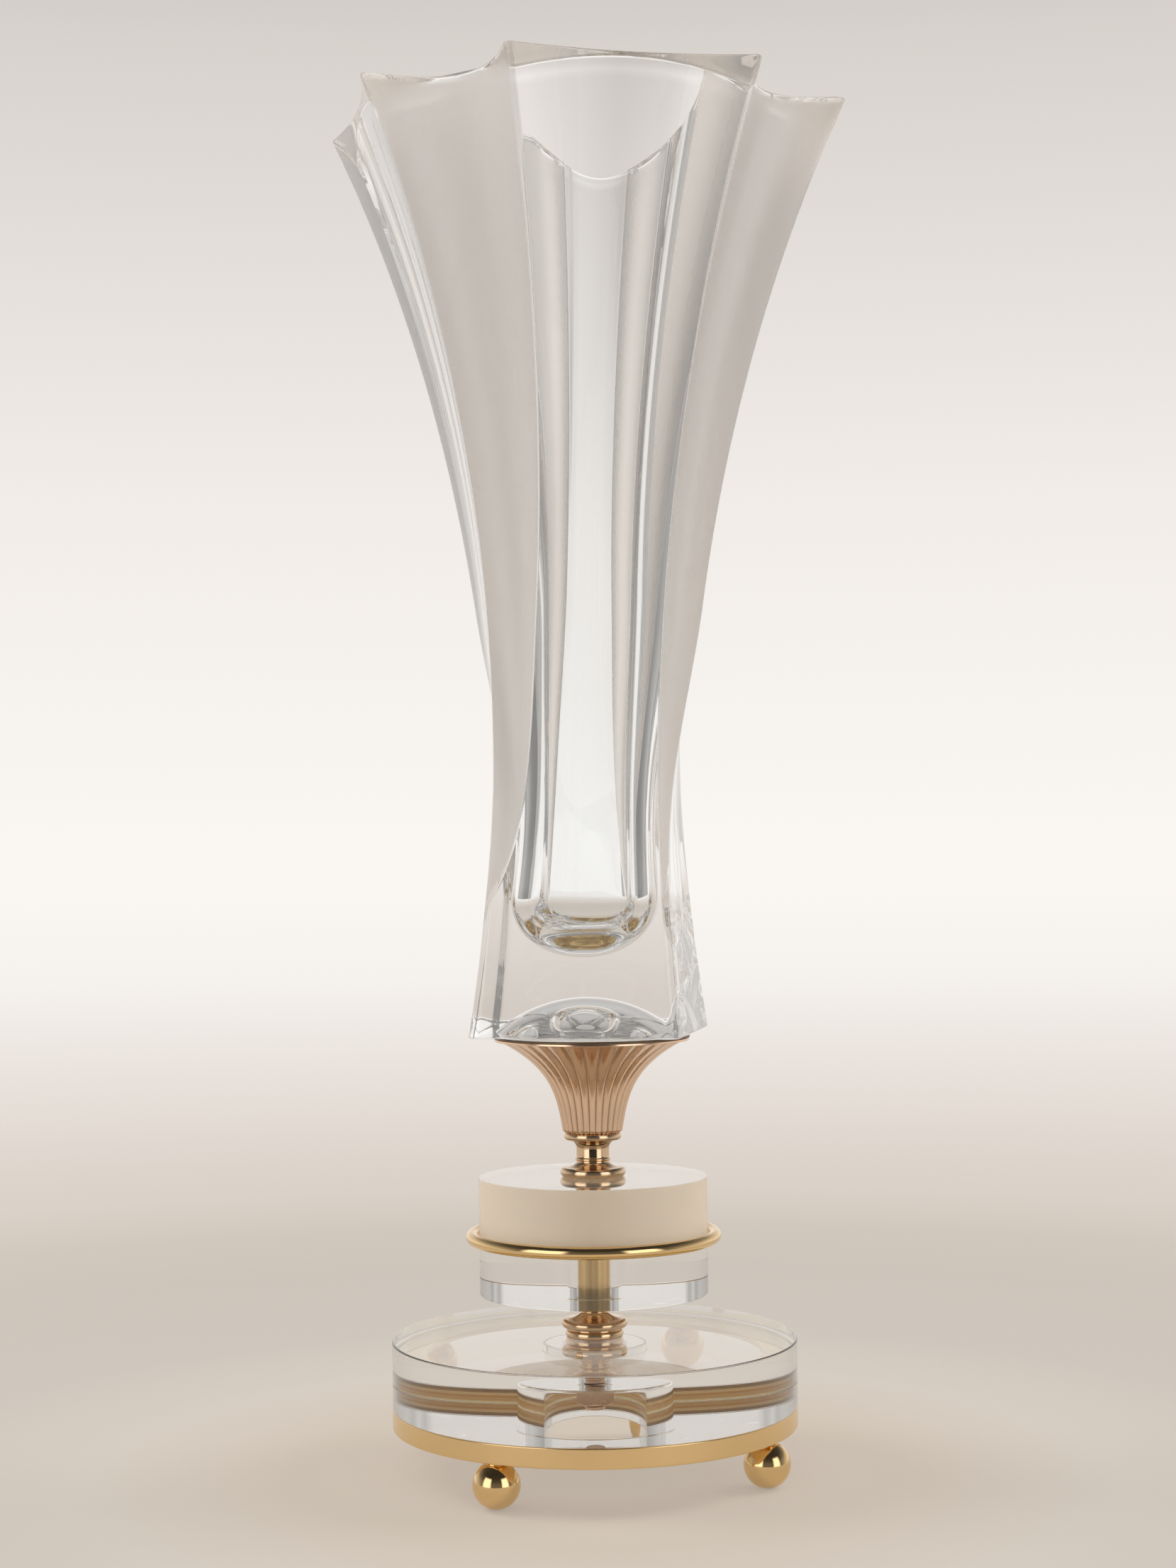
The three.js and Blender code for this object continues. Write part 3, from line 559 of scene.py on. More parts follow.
class Crystal:
    """The vase's rings as functions of the height above its foot."""

    def __init__(self, sizes):
        self.s = sizes
        self.foot = span("crystal_vase")[1]

    def ridge_radius(self, h):
        """waist + (foot - waist) u^1.6 below the waist and waist + (rim - waist) v^2.1 above it,
        where u and v are the shares of the way from the waist to either end."""
        s, waist = self.s, self.s.waist_radius
        below = np.clip((s.waist_height - h) / s.waist_height, 0, 1) ** FOOT_POWER
        above = np.clip((h - s.waist_height) / (s.height - s.waist_height), 0, 1) ** RIM_POWER
        return waist + (s.foot_radius - waist) * below + (s.rim_radius - waist) * above

    def main_angle(self, h):
        """turn + twist (1 - (1 - h/H)^2)."""
        return self.s.turned_by + self.s.twist * (1 - (1 - h / self.s.height) ** 2)

    def flute_share(self, h):
        """Share of the way from the start of the flutes to the rim."""
        return np.clip((h - self.s.flute_start) / (self.s.height - self.s.flute_start), 0, 1)

    def flute_angle(self, h):
        """corner + (full - corner) (1 - (1 - share)^3.4)^0.95."""
        opened = (1 - (1 - self.flute_share(h)) ** FLUTE_RISE) ** FLUTE_SOFTNESS
        return self.s.corner_angle + (self.s.flute_angle - self.s.corner_angle) * opened

    def far_radius(self, h):
        """The far ridge leaves the corner along the flat face, cos(half)/cos(off centre), and climbs
        to the main ridges' radius by the shoulder."""
        half = (math.pi / 2 - self.s.corner_angle) / 2
        on_flat = math.cos(half) / np.cos(half + self.s.corner_angle - self.flute_angle(h))
        climbed = smoothstep(h - self.s.flute_start, 0, FLUTE_SHOULDER)
        return self.ridge_radius(h) * (on_flat + (1 - on_flat) * climbed)

    def corners(self, h, inset):
        """The eight ridge points of each ring, rows by 8 by xy."""
        quarter = np.arange(4) * math.pi / 2
        main = self.main_angle(h)[:, None] + quarter
        far = main + self.flute_angle(h)[:, None]
        angle = np.stack([main, far], axis=2).reshape(len(h), 8)
        reach = np.stack([self.ridge_radius(h) - inset, self.far_radius(h) - inset], axis=1)
        return polar(np.tile(reach, (1, 4)), angle)

    def depths(self, h, corners):
        """How far each hollow sinks: flutes by a growing share of their chord, faces by a little."""
        chord = np.linalg.norm(np.roll(corners, -1, axis=1) - corners, axis=2)
        grow = FLUTE_DEPTH_START + (FLUTE_DEPTH_RIM - FLUTE_DEPTH_START) * self.flute_share(h)
        flute = chord[:, 0] * grow * smoothstep(h - self.s.flute_start, 0, FLUTE_TOE)
        face = chord[:, 1] * FACE_DEPTH_RIM * h / self.s.height
        return np.tile(np.stack([flute, face], axis=1), (1, 4)), chord

    def rings(self, h, inset=0.0):
        """Rows by columns by xy. Between two ridges the wall is their chord sunk inwards by the parabola
        4 d s (1 - s). Each ridge is eased by the parabola between its two neighbours."""
        h = np.atleast_1d(np.asarray(h, float))
        inset = np.broadcast_to(inset, len(h))
        corners = self.corners(h, inset)
        depth, chord = self.depths(h, corners)
        along = np.roll(corners, -1, axis=1) - corners
        inward = np.stack([-along[..., 1], along[..., 0]], axis=2) / chord[..., None]
        ease = EASE_FOOT + (EASE_BODY - EASE_FOOT) * smoothstep(h, 0, EASE_FOOT_REACH)
        top = self.s.height
        ease = ease + (EASE_RIM - EASE_BODY) * smoothstep(h, EASE_RIM_START * top, top)
        edge = np.minimum(ease[:, None] / chord, EASE_LIMIT)[..., None]
        s = (edge + (1 - 2 * edge) * np.linspace(0, 1, HOLLOW_STEPS))[..., None]
        wall = corners[:, :, None] + along[:, :, None] * s + inward[:, :, None] * (
            4 * depth[..., None, None] * s * (1 - s))
        t = np.linspace(0, 1, RIDGE_STEPS + 2)[None, None, 1:-1, None]
        arriving = np.roll(wall[:, :, -1:], 1, axis=1)
        ridge = (1 - t) ** 2 * arriving + 2 * t * (1 - t) * corners[:, :, None] + t ** 2 * wall[:, :, :1]
        return np.concatenate([ridge, wall], axis=2).reshape(len(h), -1, 2)

    def frost(self, h):
        """1 on the flutes above a toe that leans up by the square of the way across, fading over the
        ridges beside them to 0 on the clear faces."""
        s = np.linspace(0, 1, HOLLOW_STEPS)
        toe = self.s.flute_start + FROST_LEAN * s ** 2
        flute = smoothstep(h[:, None] - toe, 0, 2 * MM)
        fade = np.linspace(0, 1, RIDGE_STEPS + 2)[1:-1]
        near, far = flute[:, :1] * fade, flute[:, -1:] * fade[::-1]
        quarter = np.concatenate([near, flute, far, np.zeros_like(flute)], axis=1)
        return np.tile(quarter, (1, 4))

    def scallop(self):
        """4 s (1 - s) across each flute and 0 on the ridges and clear faces."""
        s = np.linspace(0, 1, HOLLOW_STEPS)
        ridge = np.zeros(RIDGE_STEPS)
        return np.tile(np.concatenate([ridge, 4 * s * (1 - s), ridge, np.zeros(HOLLOW_STEPS)]), 4)

    def face_radius(self, h):
        """Distance of the clear faces from the axis."""
        corners = self.corners(h, 0.0)
        depth, chord = self.depths(h, corners)
        far, following = corners[:, 1], corners[:, 2]
        area = far[:, 0] * following[:, 1] - far[:, 1] * following[:, 0]
        return area / chord[:, 1] - depth[:, 1]

    def hollow(self, h, angle, scale=1.0):
        """Rows by columns by xy of the flower hollow, at the angles of the outer ring: the face radius
        less the wall, fuller or pinched towards the flutes by (1 - cos 4 a)/2."""
        middle = self.main_angle(h) + (self.flute_angle(h) + math.pi / 2) / 2
        pinch = CORNER_BULGE - (CORNER_BULGE + RIM_PINCH) * self.flute_share(h)
        towards = (1 - np.cos(4 * (angle - middle[:, None]))) / 2
        radius = (self.face_radius(h) - self.s.wall)[:, None] + pinch[:, None] * towards
        return polar(radius * np.reshape(scale, (-1, 1)), angle)


def ring_angles(rings):
    """Direction of every xy point as seen from the axis."""
    return np.arctan2(rings[..., 1], rings[..., 0])


def crystal_rows(sizes):
    """The whole skin of the vase as one grid, from the top of the punt, out over the foot, up the
    outside, across the ground rim and down the hollow to the middle of its floor."""
    vase = Crystal(sizes)
    top = sizes.height
    quarter = np.linspace(0, math.pi / 2, 6)
    bevel_h, bevel_in = FOOT_BEVEL * (1 - np.cos(quarter)), FOOT_BEVEL * (1 - np.sin(quarter))
    foot_edge = vase.rings(bevel_h, bevel_in)
    angle = ring_angles(foot_edge[:1])
    # punt, a cap of a sphere, and flat foot
    punt = vase.face_radius(np.zeros(1))[0] - PUNT_RIM
    dome = (punt ** 2 + sizes.punt_depth ** 2) / (2 * sizes.punt_depth)
    reach = punt * np.sin(np.linspace(0, math.pi / 2, 26))
    punt_rings = polar(reach[:, None], angle)
    punt_h = sizes.punt_depth - dome + np.sqrt(dome ** 2 - reach ** 2)
    punt_h[-1] = 0.0
    across = np.array([0.03, 0.5, 0.97])[:, None, None]
    foot_flat = punt_rings[-1:] * (1 - across) + foot_edge[:1] * across
    # outside
    levels = np.linspace(0, 1, CRYSTAL_ROWS)
    outside_h = FOOT_BEVEL + (top - RIM_BEVEL - FOOT_BEVEL) * levels[1:-1]
    outside = vase.rings(outside_h)
    rim_h, rim_in = top - RIM_BEVEL * (1 - np.sin(quarter)), RIM_BEVEL * (1 - np.cos(quarter))
    rim_edge = vase.rings(rim_h, rim_in)
    # hollow, with a floor whose reach is (1 - (1 - share)^2)^(1/2) for the share of its own height
    rim_angle = ring_angles(rim_edge[-1:])
    mouth = vase.hollow(np.full(6, top), np.repeat(rim_angle, 6, axis=0))
    mouth_h = top - RIM_BEVEL * (1 - np.cos(quarter))
    mouth_edge = mouth * (1 + RIM_BEVEL * (1 - np.sin(quarter))[:, None, None]
                          / np.linalg.norm(mouth, axis=2, keepdims=True))
    rim_flat = rim_edge[-1:] * (1 - across) + mouth_edge[:1] * across
    low = sizes.cavity_floor + CAVITY_ROUND
    down = top - RIM_BEVEL - (top - RIM_BEVEL - low) * np.linspace(0, 1, 110)[1:]
    inside = vase.hollow(down, ring_angles(vase.rings(down)))
    sink = np.linspace(0, math.pi / 2, 30)[1:]
    floor_share = 1 - np.sin(sink)
    floor_scale = (1 - (1 - floor_share) ** CAVITY_ROUNDNESS) ** (1 / CAVITY_ROUNDNESS)
    floor_scale[-1] = 0.0
    floor_h = sizes.cavity_floor + CAVITY_ROUND * floor_share
    bowl = vase.hollow(floor_h, ring_angles(vase.rings(floor_h)), floor_scale)
    parts = [
        (punt_rings, punt_h, 0, 0), (foot_flat, np.zeros(3), 0, 0), (foot_edge, bevel_h, 0, 0),
        (outside, outside_h, vase.frost(outside_h), smoothstep(outside_h, top - SCALLOP_REACH, top)),
        (rim_edge, rim_h, RIM_SATIN, 1), (rim_flat, np.full(3, top), RIM_SATIN, 1 - across[:, 0, 0]),
        (mouth_edge, mouth_h, 0, 0), (inside, down, 0, 0), (bowl, floor_h, 0, 0),
    ]
    rows, frosted = [], []
    for rings, heights, frost, sunk in parts:
        sunk = np.broadcast_to(sunk, len(heights))[:, None] * RIM_SCALLOP * vase.scallop()
        rows.append(lifted(rings, vase.foot + heights[:, None] - sunk))
        frosted.append(np.broadcast_to(frost, rings.shape[:2]))
    return np.concatenate(rows), np.concatenate(frosted)


# Ribbed cup

CUP_FLARE, CUP_POWER = 5.8 * MM, 3.4
RIB_DEPTH_FOOT, RIB_DEPTH_RIM = 0.45 * MM, 1.0 * MM
CUP_LIP, CUP_WALL, CUP_FLOOR, CUP_FOOT_ROUND = 0.9 * MM, 2.2 * MM, 6 * MM, 0.7 * MM
RIB_ROUNDNESS = 1.3
POINTS_PER_RIB = 12


def cup_rows(sizes):
    """Outside, lip, inside and rod hole of the cup. Its radius is foot + 5.8 t + (rest) t^3.4 for the
    share t of its height, and the ribs are the humps |sin| of the angle, sunk between by their depth."""
    _, low, high = span("ribbed_cup")
    tall = high - low
    rise = sizes.cup_rim_radius - sizes.cup_foot_radius - CUP_FLARE

    def radius(t):
        return sizes.cup_foot_radius + CUP_FLARE * t + rise * t ** CUP_POWER

    columns = sizes.cup_ribs * POINTS_PER_RIB
    angle = full_turn(columns)
    sunk = (1 - np.abs(np.sin(sizes.cup_ribs * angle / 2))) ** RIB_ROUNDNESS
    t = 1 - (1 - np.linspace(0, 1, 70)) ** 1.4
    height = low + (tall - CUP_LIP) * t
    outer_t = (height - low) / tall
    edge = np.clip(t * tall / CUP_FOOT_ROUND, 0, 1)
    rounding = CUP_FOOT_ROUND * (1 - np.sqrt(1 - (1 - edge) ** 2))
    depth = (RIB_DEPTH_FOOT + (RIB_DEPTH_RIM - RIB_DEPTH_FOOT) * outer_t)[:, None] * sunk
    outer = (radius(outer_t) - rounding)[:, None] - depth
    rim, back = sizes.cup_rim_radius, sizes.cup_rim_radius - CUP_WALL
    lip = eased([[back, high - CUP_LIP], [rim, high - CUP_LIP], [rim, high - AIR], [back, high - AIR]],
                0.2 * MM)[7:21]  # the two rounded corners at the rim
    inner_t = np.linspace(1, CUP_FLOOR / tall, 24)
    inner = radius(inner_t) - CUP_WALL - RIB_DEPTH_RIM / 2
    bore, bevel = rod_bore(), 0.2 * MM
    rest = outline(lip, np.stack([inner, low + tall * inner_t - AIR], axis=1),
                   [bore + bevel, low + CUP_FLOOR], [bore, low + CUP_FLOOR - bevel], [bore, low + AIR])
    reach = np.concatenate([outer, np.repeat(rest[:, :1], columns, axis=1)])
    level = np.concatenate([height, rest[:, 1]])[:, None]
    groove = np.zeros(reach.shape)
    # the groove mark: where painted shade darkens the cup between its ribs
    groove[:len(outer)] = sunk ** 1.5
    return lifted(polar(reach, angle), level), groove


# Collars, discs and base profiles


def lower_collar_profile(top_of_base, disc_bottom, bore):
    """Foot ring, groove, rounded flange, swept cone, bead, cove and head, from the bottom up."""
    foot_high = top_of_base + 2.6 * MM
    flange_low = foot_high + 0.9 * MM
    flange_high = flange_low + 3.2 * MM
    bead_low = flange_high + 3 * MM
    bead_high = bead_low + 1.8 * MM
    head_low = disc_bottom - 1.8 * MM
    return outline(
        [bore, top_of_base], round_edge(10.3 * MM, top_of_base, foot_high, 0.5 * MM),
        [9.6 * MM, foot_high], [9.6 * MM, flange_low],
        round_edge(11.1 * MM, flange_low, flange_high, 1.2 * MM),
        arc(11.1 * MM, bead_low, 5.9 * MM, 3 * MM, 270, 180),
        round_edge(5.2 * MM, bead_low, bead_high, 0.8 * MM),
        arc(9.5 * MM, bead_high, 4.3 * MM, head_low - bead_high, 180, 90),
        [9.5 * MM, disc_bottom], [bore, disc_bottom])


def upper_collar_profile(disc_top, cup_bottom, bore):
    """Rounded foot, cove, bead, straight waist, cove and rounded head, from the bottom up."""
    foot_high = disc_top + 3.4 * MM
    bead_low = foot_high + 2.4 * MM
    bead_high = bead_low + 1.2 * MM
    waist_high = bead_high + 3.4 * MM
    head_low = cup_bottom - 2.6 * MM
    return outline(
        [bore, disc_top], round_edge(11 * MM, disc_top, foot_high, 1.2 * MM),
        arc(11 * MM, bead_low, 4.9 * MM, 2.4 * MM, 270, 180),
        round_edge(6.1 * MM, bead_low, bead_high, 0.5 * MM),
        [6.1 * MM, waist_high], arc(9.9 * MM, waist_high, 3.8 * MM, head_low - waist_high, 180, 90),
        round_edge(9.9 * MM, head_low, cup_bottom, 0.8 * MM), [bore, cup_bottom])


def band_profile(disc_radius, bead, low, high):
    """A round bead outside the discs, joined by a thin web that is clamped between them."""
    centre, inner = disc_radius + SEAT_GAP + bead, disc_radius - WEB_WIDTH
    gap = math.degrees(math.asin((high - low) / 2 / bead))
    wire = arc(centre, (low + high) / 2, bead, bead, gap - 180, 180 - gap, 40)
    return outline([inner, low], wire, [inner, high])


def base_disc_profile(radius, low, high, rebate_top, recess_radius, recess_top, bore):
    """The thick disc with a rebate for the bezel below its side and a well for the nut beneath."""
    rebate = radius - BEZEL_WALL - SEAT_GAP
    corners = [
        [recess_radius, low], [rebate, low], [rebate, rebate_top], [radius, rebate_top], [radius, high],
        [bore, high], [bore, recess_top], [recess_radius, recess_top],
    ]
    return eased(corners, np.array([0.3, 0.3, 0.12, 0.12, 0.6, 0.3, 0.3, 1.0]) * MM, 7)


def bezel_profile(radius, low, floor_top, high):
    """An angle ring: a flat flange under the disc and a thin upright wall round it."""
    wall, flange = radius - BEZEL_WALL, radius - BEZEL_FLANGE
    corners = [[flange, low], [radius, low], [radius, high], [wall, high], [wall, floor_top],
               [flange, floor_top]]
    return eased(corners, np.array([0.3, 0.6, 0.35, 0.35, 0.2, 0.3]) * MM)


def ball_profile(radius, neck_top):
    """A ball with a small flat where it stands and a short neck above. The arc runs from the angle whose
    sine is -(centre height / radius) to the one whose cosine is neck / radius."""
    centre, neck = radius - BALL_FLAT, BALL_NECK
    ground = -math.degrees(math.asin(centre / radius))
    shoulder = math.degrees(math.acos(neck / radius))
    bore, bottom = STUD_RADIUS + ROD_GAP, neck_top - STUD_HOLE
    return outline([0, 0], arc(0, centre, radius, radius, ground, shoulder, 44),
                   [neck, neck_top - 0.3 * MM], [neck - 0.2 * MM, neck_top - AIR], [bore, neck_top - AIR],
                   [bore, bottom], [0, bottom])


def rod_rows(radius, low, high, columns=28):
    """A threaded rod. Its radius falls by the thread's depth along a zigzag of height / pitch minus the
    turn, and tapers over the last 0.6 mm of either end."""
    height = np.linspace(low, high, int((high - low) / THREAD_PITCH * ROWS_PER_PITCH))[:, None]
    angle = full_turn(columns)[None, :]
    phase = (height / THREAD_PITCH - angle / (2 * math.pi)) % 1
    from_end = np.minimum(height - low, high - height)
    taper = THREAD_RUN_OUT * np.clip(1 - from_end / THREAD_RUN_OUT, 0, 1)
    reach = radius - np.maximum(THREAD_DEPTH * np.abs(2 * phase - 1), taper)
    ends = [np.zeros((1, columns, 3)) + [0, 0, z] for z in (low, high)]
    return np.concatenate([ends[0], lifted(polar(reach, angle), height), ends[1]])


def nut_rows(bore, across, low, high, columns=96):
    """A hexagon nut. Its side is the lesser of the hexagon, flat / cos(a) folded every 60 degrees, and
    the cone that chamfers its corners at both ends."""
    tall = high - low
    angle = full_turn(columns)
    folded = (angle + math.pi / 6) % (math.pi / 3) - math.pi / 6
    hexagon = across / 2 / np.cos(folded)
    bevel = np.linspace(0.0, NUT_CHAMFER, 6)
    height = np.concatenate([[0.0], bevel, [tall / 2], tall - bevel[::-1], [tall]])
    cone = across / 2 * NUT_FACE + np.minimum(height, tall - height) * NUT_SLOPE
    reach = np.minimum(hexagon[None, :], cone[:, None])
    reach[[0, -1]] = bore
    return lifted(polar(reach, angle), (low + height)[:, None])


# Operators


def turn_piece(name, node, slot, finish, profile, sides):
    """Turns a profile round the axis and dresses the piece."""
    place(skin(name, turned(profile, sides)), node, slot, finish)


class VASE_OT_crystal(bpy.types.Operator):
    """Make the cut crystal vase with its frosted flutes"""
    bl_idname = "vase.crystal"
    bl_label = "Crystal"

    def execute(self, context):
        rows, frost = crystal_rows(context.scene.vase_crystal)
        piece = skin("cut_crystal_body", rows, looped=False, marks={"frost": frost}, crease=40)
        place(piece, "crystal_vase", "crystal", crystal_finish(context.scene.vase_finishes))
        return {"FINISHED"}


class VASE_OT_cup(bpy.types.Operator):
    """Make the ribbed cup, the plate that closes it and the pad under the crystal"""
    bl_idname = "vase.cup"
    bl_label = "Cup, plate and pad"

    def execute(self, context):
        colours = context.scene.vase_finishes
        rows, groove = cup_rows(context.scene.vase_stand)
        cup = skin("ribbed_brass_cup", rows, marks={"groove": groove}, crease=60)
        place(cup, "ribbed_cup", "satin_brass", cup_finish(colours))
        radius, low, high = seat("cup_plate")
        rim = 0.25 * MM
        plate = turned(eased([[0, low], [radius, low], [radius, high], [0, high]], [0, rim, rim, 0]), 128)
        # the groove mark here is the plate's thin edge, darkened by painted shadow
        edge = smoothstep(from_axis(plate), radius - 0.4 * MM, radius - 0.1 * MM)
        disc = skin("cup_closing_plate", plate, looped=False, marks={"groove": edge})
        place(disc, "cup_plate", "satin_brass", plate_finish(colours))
        radius, low, high = seat("seat_pad")
        pad = ring_profile(radius - PAD_WIDTH, radius, low, high, 0.2 * MM)
        turn_piece("silicone_pad", "seat_pad", "clear_silicone", silicone_finish(colours), pad, 128)
        return {"FINISHED"}


class VASE_OT_collars(bpy.types.Operator):
    """Turn the two brass collars"""
    bl_idname = "vase.collars"
    bl_label = "Collars"

    def execute(self, context):
        brass = metal_finish("collar_brass", context.scene.vase_finishes.rose, 0.07, 0.16, 0.25)
        for node, shape in (("lower_collar", lower_collar_profile), ("upper_collar", upper_collar_profile)):
            _, low, high = seat(node)
            collar = softened(shape(low, high, rod_bore()))
            turn_piece("turned_" + node, node, "polished_brass", brass, collar, 112)
        return {"FINISHED"}


class VASE_OT_pedestal(bpy.types.Operator):
    """Make the clear and frosted discs, the brass band between them and the sleeve inside them"""
    bl_idname = "vase.pedestal"
    bl_label = "Pedestal discs"

    def execute(self, context):
        colours, sizes = context.scene.vase_finishes, context.scene.vase_stand
        radius, ease = sizes.disc_radius, 0.35 * MM
        sleeve_radius, sleeve_low, sleeve_high = seat("rod_sleeve")
        bore = sleeve_radius + SLEEVE_GAP
        _, low, high = seat("clear_disc")
        clear = ring_profile(bore, radius, low, high, ease)
        finish = clear_disc_finish(colours)
        turn_piece("clear_pedestal_disc", "clear_disc", "clear_crystal", finish, clear, 180)
        _, low, high = seat("frosted_disc")
        rows = turned(ring_profile(bore, radius, low, high, ease), 180)
        side = smoothstep(from_axis(rows), radius - 0.3 * MM, radius - 0.1 * MM)
        below = (rows[..., 2] < (low + high) / 2) & (from_axis(rows) > bore + 0.1 * MM)
        frosted = skin("frosted_pedestal_disc", rows, marks={"frost": np.maximum(side, below)})
        place(frosted, "frosted_disc", "frosted_crystal", frosted_disc_finish(colours))
        web_low, web_high = span("clear_disc")[2] + AIR, span("frosted_disc")[1] - AIR
        band = softened(band_profile(radius, sizes.bead_radius, web_low, web_high))
        gold = metal_finish("band_brass", colours.gold, 0.06, 0.14, 0.12)
        turn_piece("brass_band", "disc_band", "polished_brass", gold, band, 200)
        sleeve = ring_profile(rod_bore(), sleeve_radius, sleeve_low, sleeve_high, 0.2 * MM)
        turn_piece("brass_sleeve", "rod_sleeve", "polished_brass", sleeve_finish(colours), sleeve, 96)
        return {"FINISHED"}


class VASE_OT_base(bpy.types.Operator):
    """Make the thick clear base disc and the brass bezel that carries it"""
    bl_idname = "vase.base"
    bl_label = "Base"

    def execute(self, context):
        colours, sizes = context.scene.vase_finishes, context.scene.vase_stand
        radius = sizes.base_radius
        _, low, high = span("base_disc")
        _, bezel_low, bezel_high = span("base_bezel")
        disc = base_disc_profile(
            radius, low + AIR, high - AIR, bezel_high + SEAT_GAP, sizes.recess_radius,
            low + sizes.recess_depth, rod_bore())
        turn_piece("clear_base_disc", "base_disc", "clear_crystal", clear_disc_finish(colours), disc, 240)
        ring = turned(bezel_profile(radius, bezel_low, low - AIR, bezel_high), 240)
        inside = smoothstep(radius - from_axis(ring), 0.9 * MM, 1.1 * MM)
        bezel = skin("brass_bezel", ring, marks={"inside": inside})
        place(bezel, "base_bezel", "polished_brass", bezel_finish(colours))
        return {"FINISHED"}


class VASE_OT_feet(bpy.types.Operator):
    """Make the four ball feet and their studs"""
    bl_idname = "vase.feet"
    bl_label = "Ball feet"

    def execute(self, context):
        colours = context.scene.vase_finishes
        gold = metal_finish("ball_brass", colours.gold, 0.05, 0.12)
        zinc = metal_finish("stud_zinc", colours.zinc, 0.25, 0.4)
        for corner in ("front_right", "rear_right", "rear_left", "front_left"):
            low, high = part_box("ball_foot_" + corner)
            centre = [(low.x + high.x) / 2, (low.y + high.y) / 2, 0.0]
            rows = turned(ball_profile(context.scene.vase_stand.ball_radius, high.z), 72)
            ball = skin("ball_" + corner, rows + centre, looped=False, crease=50)
            place(ball, "ball_foot_" + corner, "polished_brass", gold)
            low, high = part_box("foot_stud_" + corner)
            rows = rod_rows(STUD_RADIUS, low.z + AIR, high.z - AIR, 16)
            stud = skin("stud_" + corner, rows + centre, looped=False, crease=60)
            place(stud, "foot_stud_" + corner, "zinc_steel", zinc)
        return {"FINISHED"}


class VASE_OT_hardware(bpy.types.Operator):
    """Make the tie rod with its nuts and washers"""
    bl_idname = "vase.hardware"
    bl_label = "Rod, nuts and washers"

    def execute(self, context):
        brass = metal_finish("hardware_brass", context.scene.vase_finishes.satin, 0.22, 0.38, 0.2)
        rod = skin("threaded_rod", rod_rows(*span("tie_rod")), looped=False, crease=70)
        place(rod, "tie_rod", "satin_brass", brass)
        for node in ("base_nut", "cup_nut"):
            _, low, high = seat(node)
            nut = skin("hex_" + node, nut_rows(rod_bore(), NUT_ACROSS, low, high), crease=30)
            place(nut, node, "satin_brass", brass)
        for node in ("base_washer", "cup_washer"):
            radius, low, high = seat(node)
            washer = ring_profile(rod_bore(), radius, low, high, 0.25 * MM)
            turn_piece("round_" + node, node, "satin_brass", brass, washer, 96)
        return {"FINISHED"}


# Studio

DARK_FRONT = (0.03, 0.028, 0.026, 1.0)  # the studio in front of the vase, seen only in the metal
DIM_FRONT = (0.22, 0.21, 0.20, 1.0)  # the same in metal that is seen through something clear
PANEL = (1.7, 1.65, 1.6, 1.0)
EVEN_LIGHT = (0.84, 0.83, 0.82, 1.0)
INNER_LIGHT = (1.5, 1.45, 1.38, 1.0)  # light on what stands behind something clear
DARK, LIT = (0.0, 0.0, 0.0, 1.0), (1.0, 1.0, 1.0, 1.0)
LEAST = 1e-4  # keeps a direction straight up from dividing by nothing
LAMPS = {"left_soft_box": (-1.2, 0.3, 1.15), "right_soft_box": (1.3, 0.4, 1.1)}
LAMP_AIM = (0, 0, 0.22)
LAMP_WIDTH, LAMP_HEIGHT = 0.8, 0.9
FLOOR_REACH, FLOOR_DROP = 16, 0.1 * MM
SENSOR, LENS, LENS_SHIFT, CAMERA_ASIDE = 36.0, 59.55, 0.0461, -0.7 * MM
CLEAR_BOUNCES, METAL_BOUNCES = 32, 16


def tones(*stops):
    """Ramp stops from (position, red, green, blue), with display colours of 0 to 255 made linear."""
    rgb = np.array([stop[1:] for stop in stops]) / 255
    linear = np.where(rgb <= 0.04045, rgb / 12.92, ((rgb + 0.055) / 1.055) ** 2.4)
    return [(stop[0], (*row, 1.0)) for stop, row in zip(stops, linear.tolist())]


def seen_rays(made):
    """1 for camera, glossy and transmission rays, else 0."""
    seen = made.math("MAXIMUM", made.path("Is Camera Ray"), made.path("Is Glossy Ray"))
    seen = made.math("MAXIMUM", seen, made.path("Is Transmission Ray"))
    return made.times(seen, made.math("LESS_THAN", made.path("Diffuse Depth"), 0.5))


def outside_rays(made):
    """1 for the rays that have not passed through anything clear."""
    return made.math("LESS_THAN", made.path("Transmission Depth"), 0.5)


def panel_light(made, axes):
    """1 towards two tall light panels at the left and right of the front, 0 between and beyond them."""
    sideways = made.math("DIVIDE", axes["X"], made.reach(axes, LEAST))
    lit = made.ramp(made.between(sideways, 0.0, 1.0, -1.0, 1.0), [
        (0.03, DARK), (0.06, LIT), (0.25, LIT), (0.30, DARK),
        (0.72, DARK), (0.77, LIT), (0.92, LIT), (0.96, DARK)])
    return made.times(lit, made.between(axes["Y"], 1.0, 0.0, -0.1, 0.0))


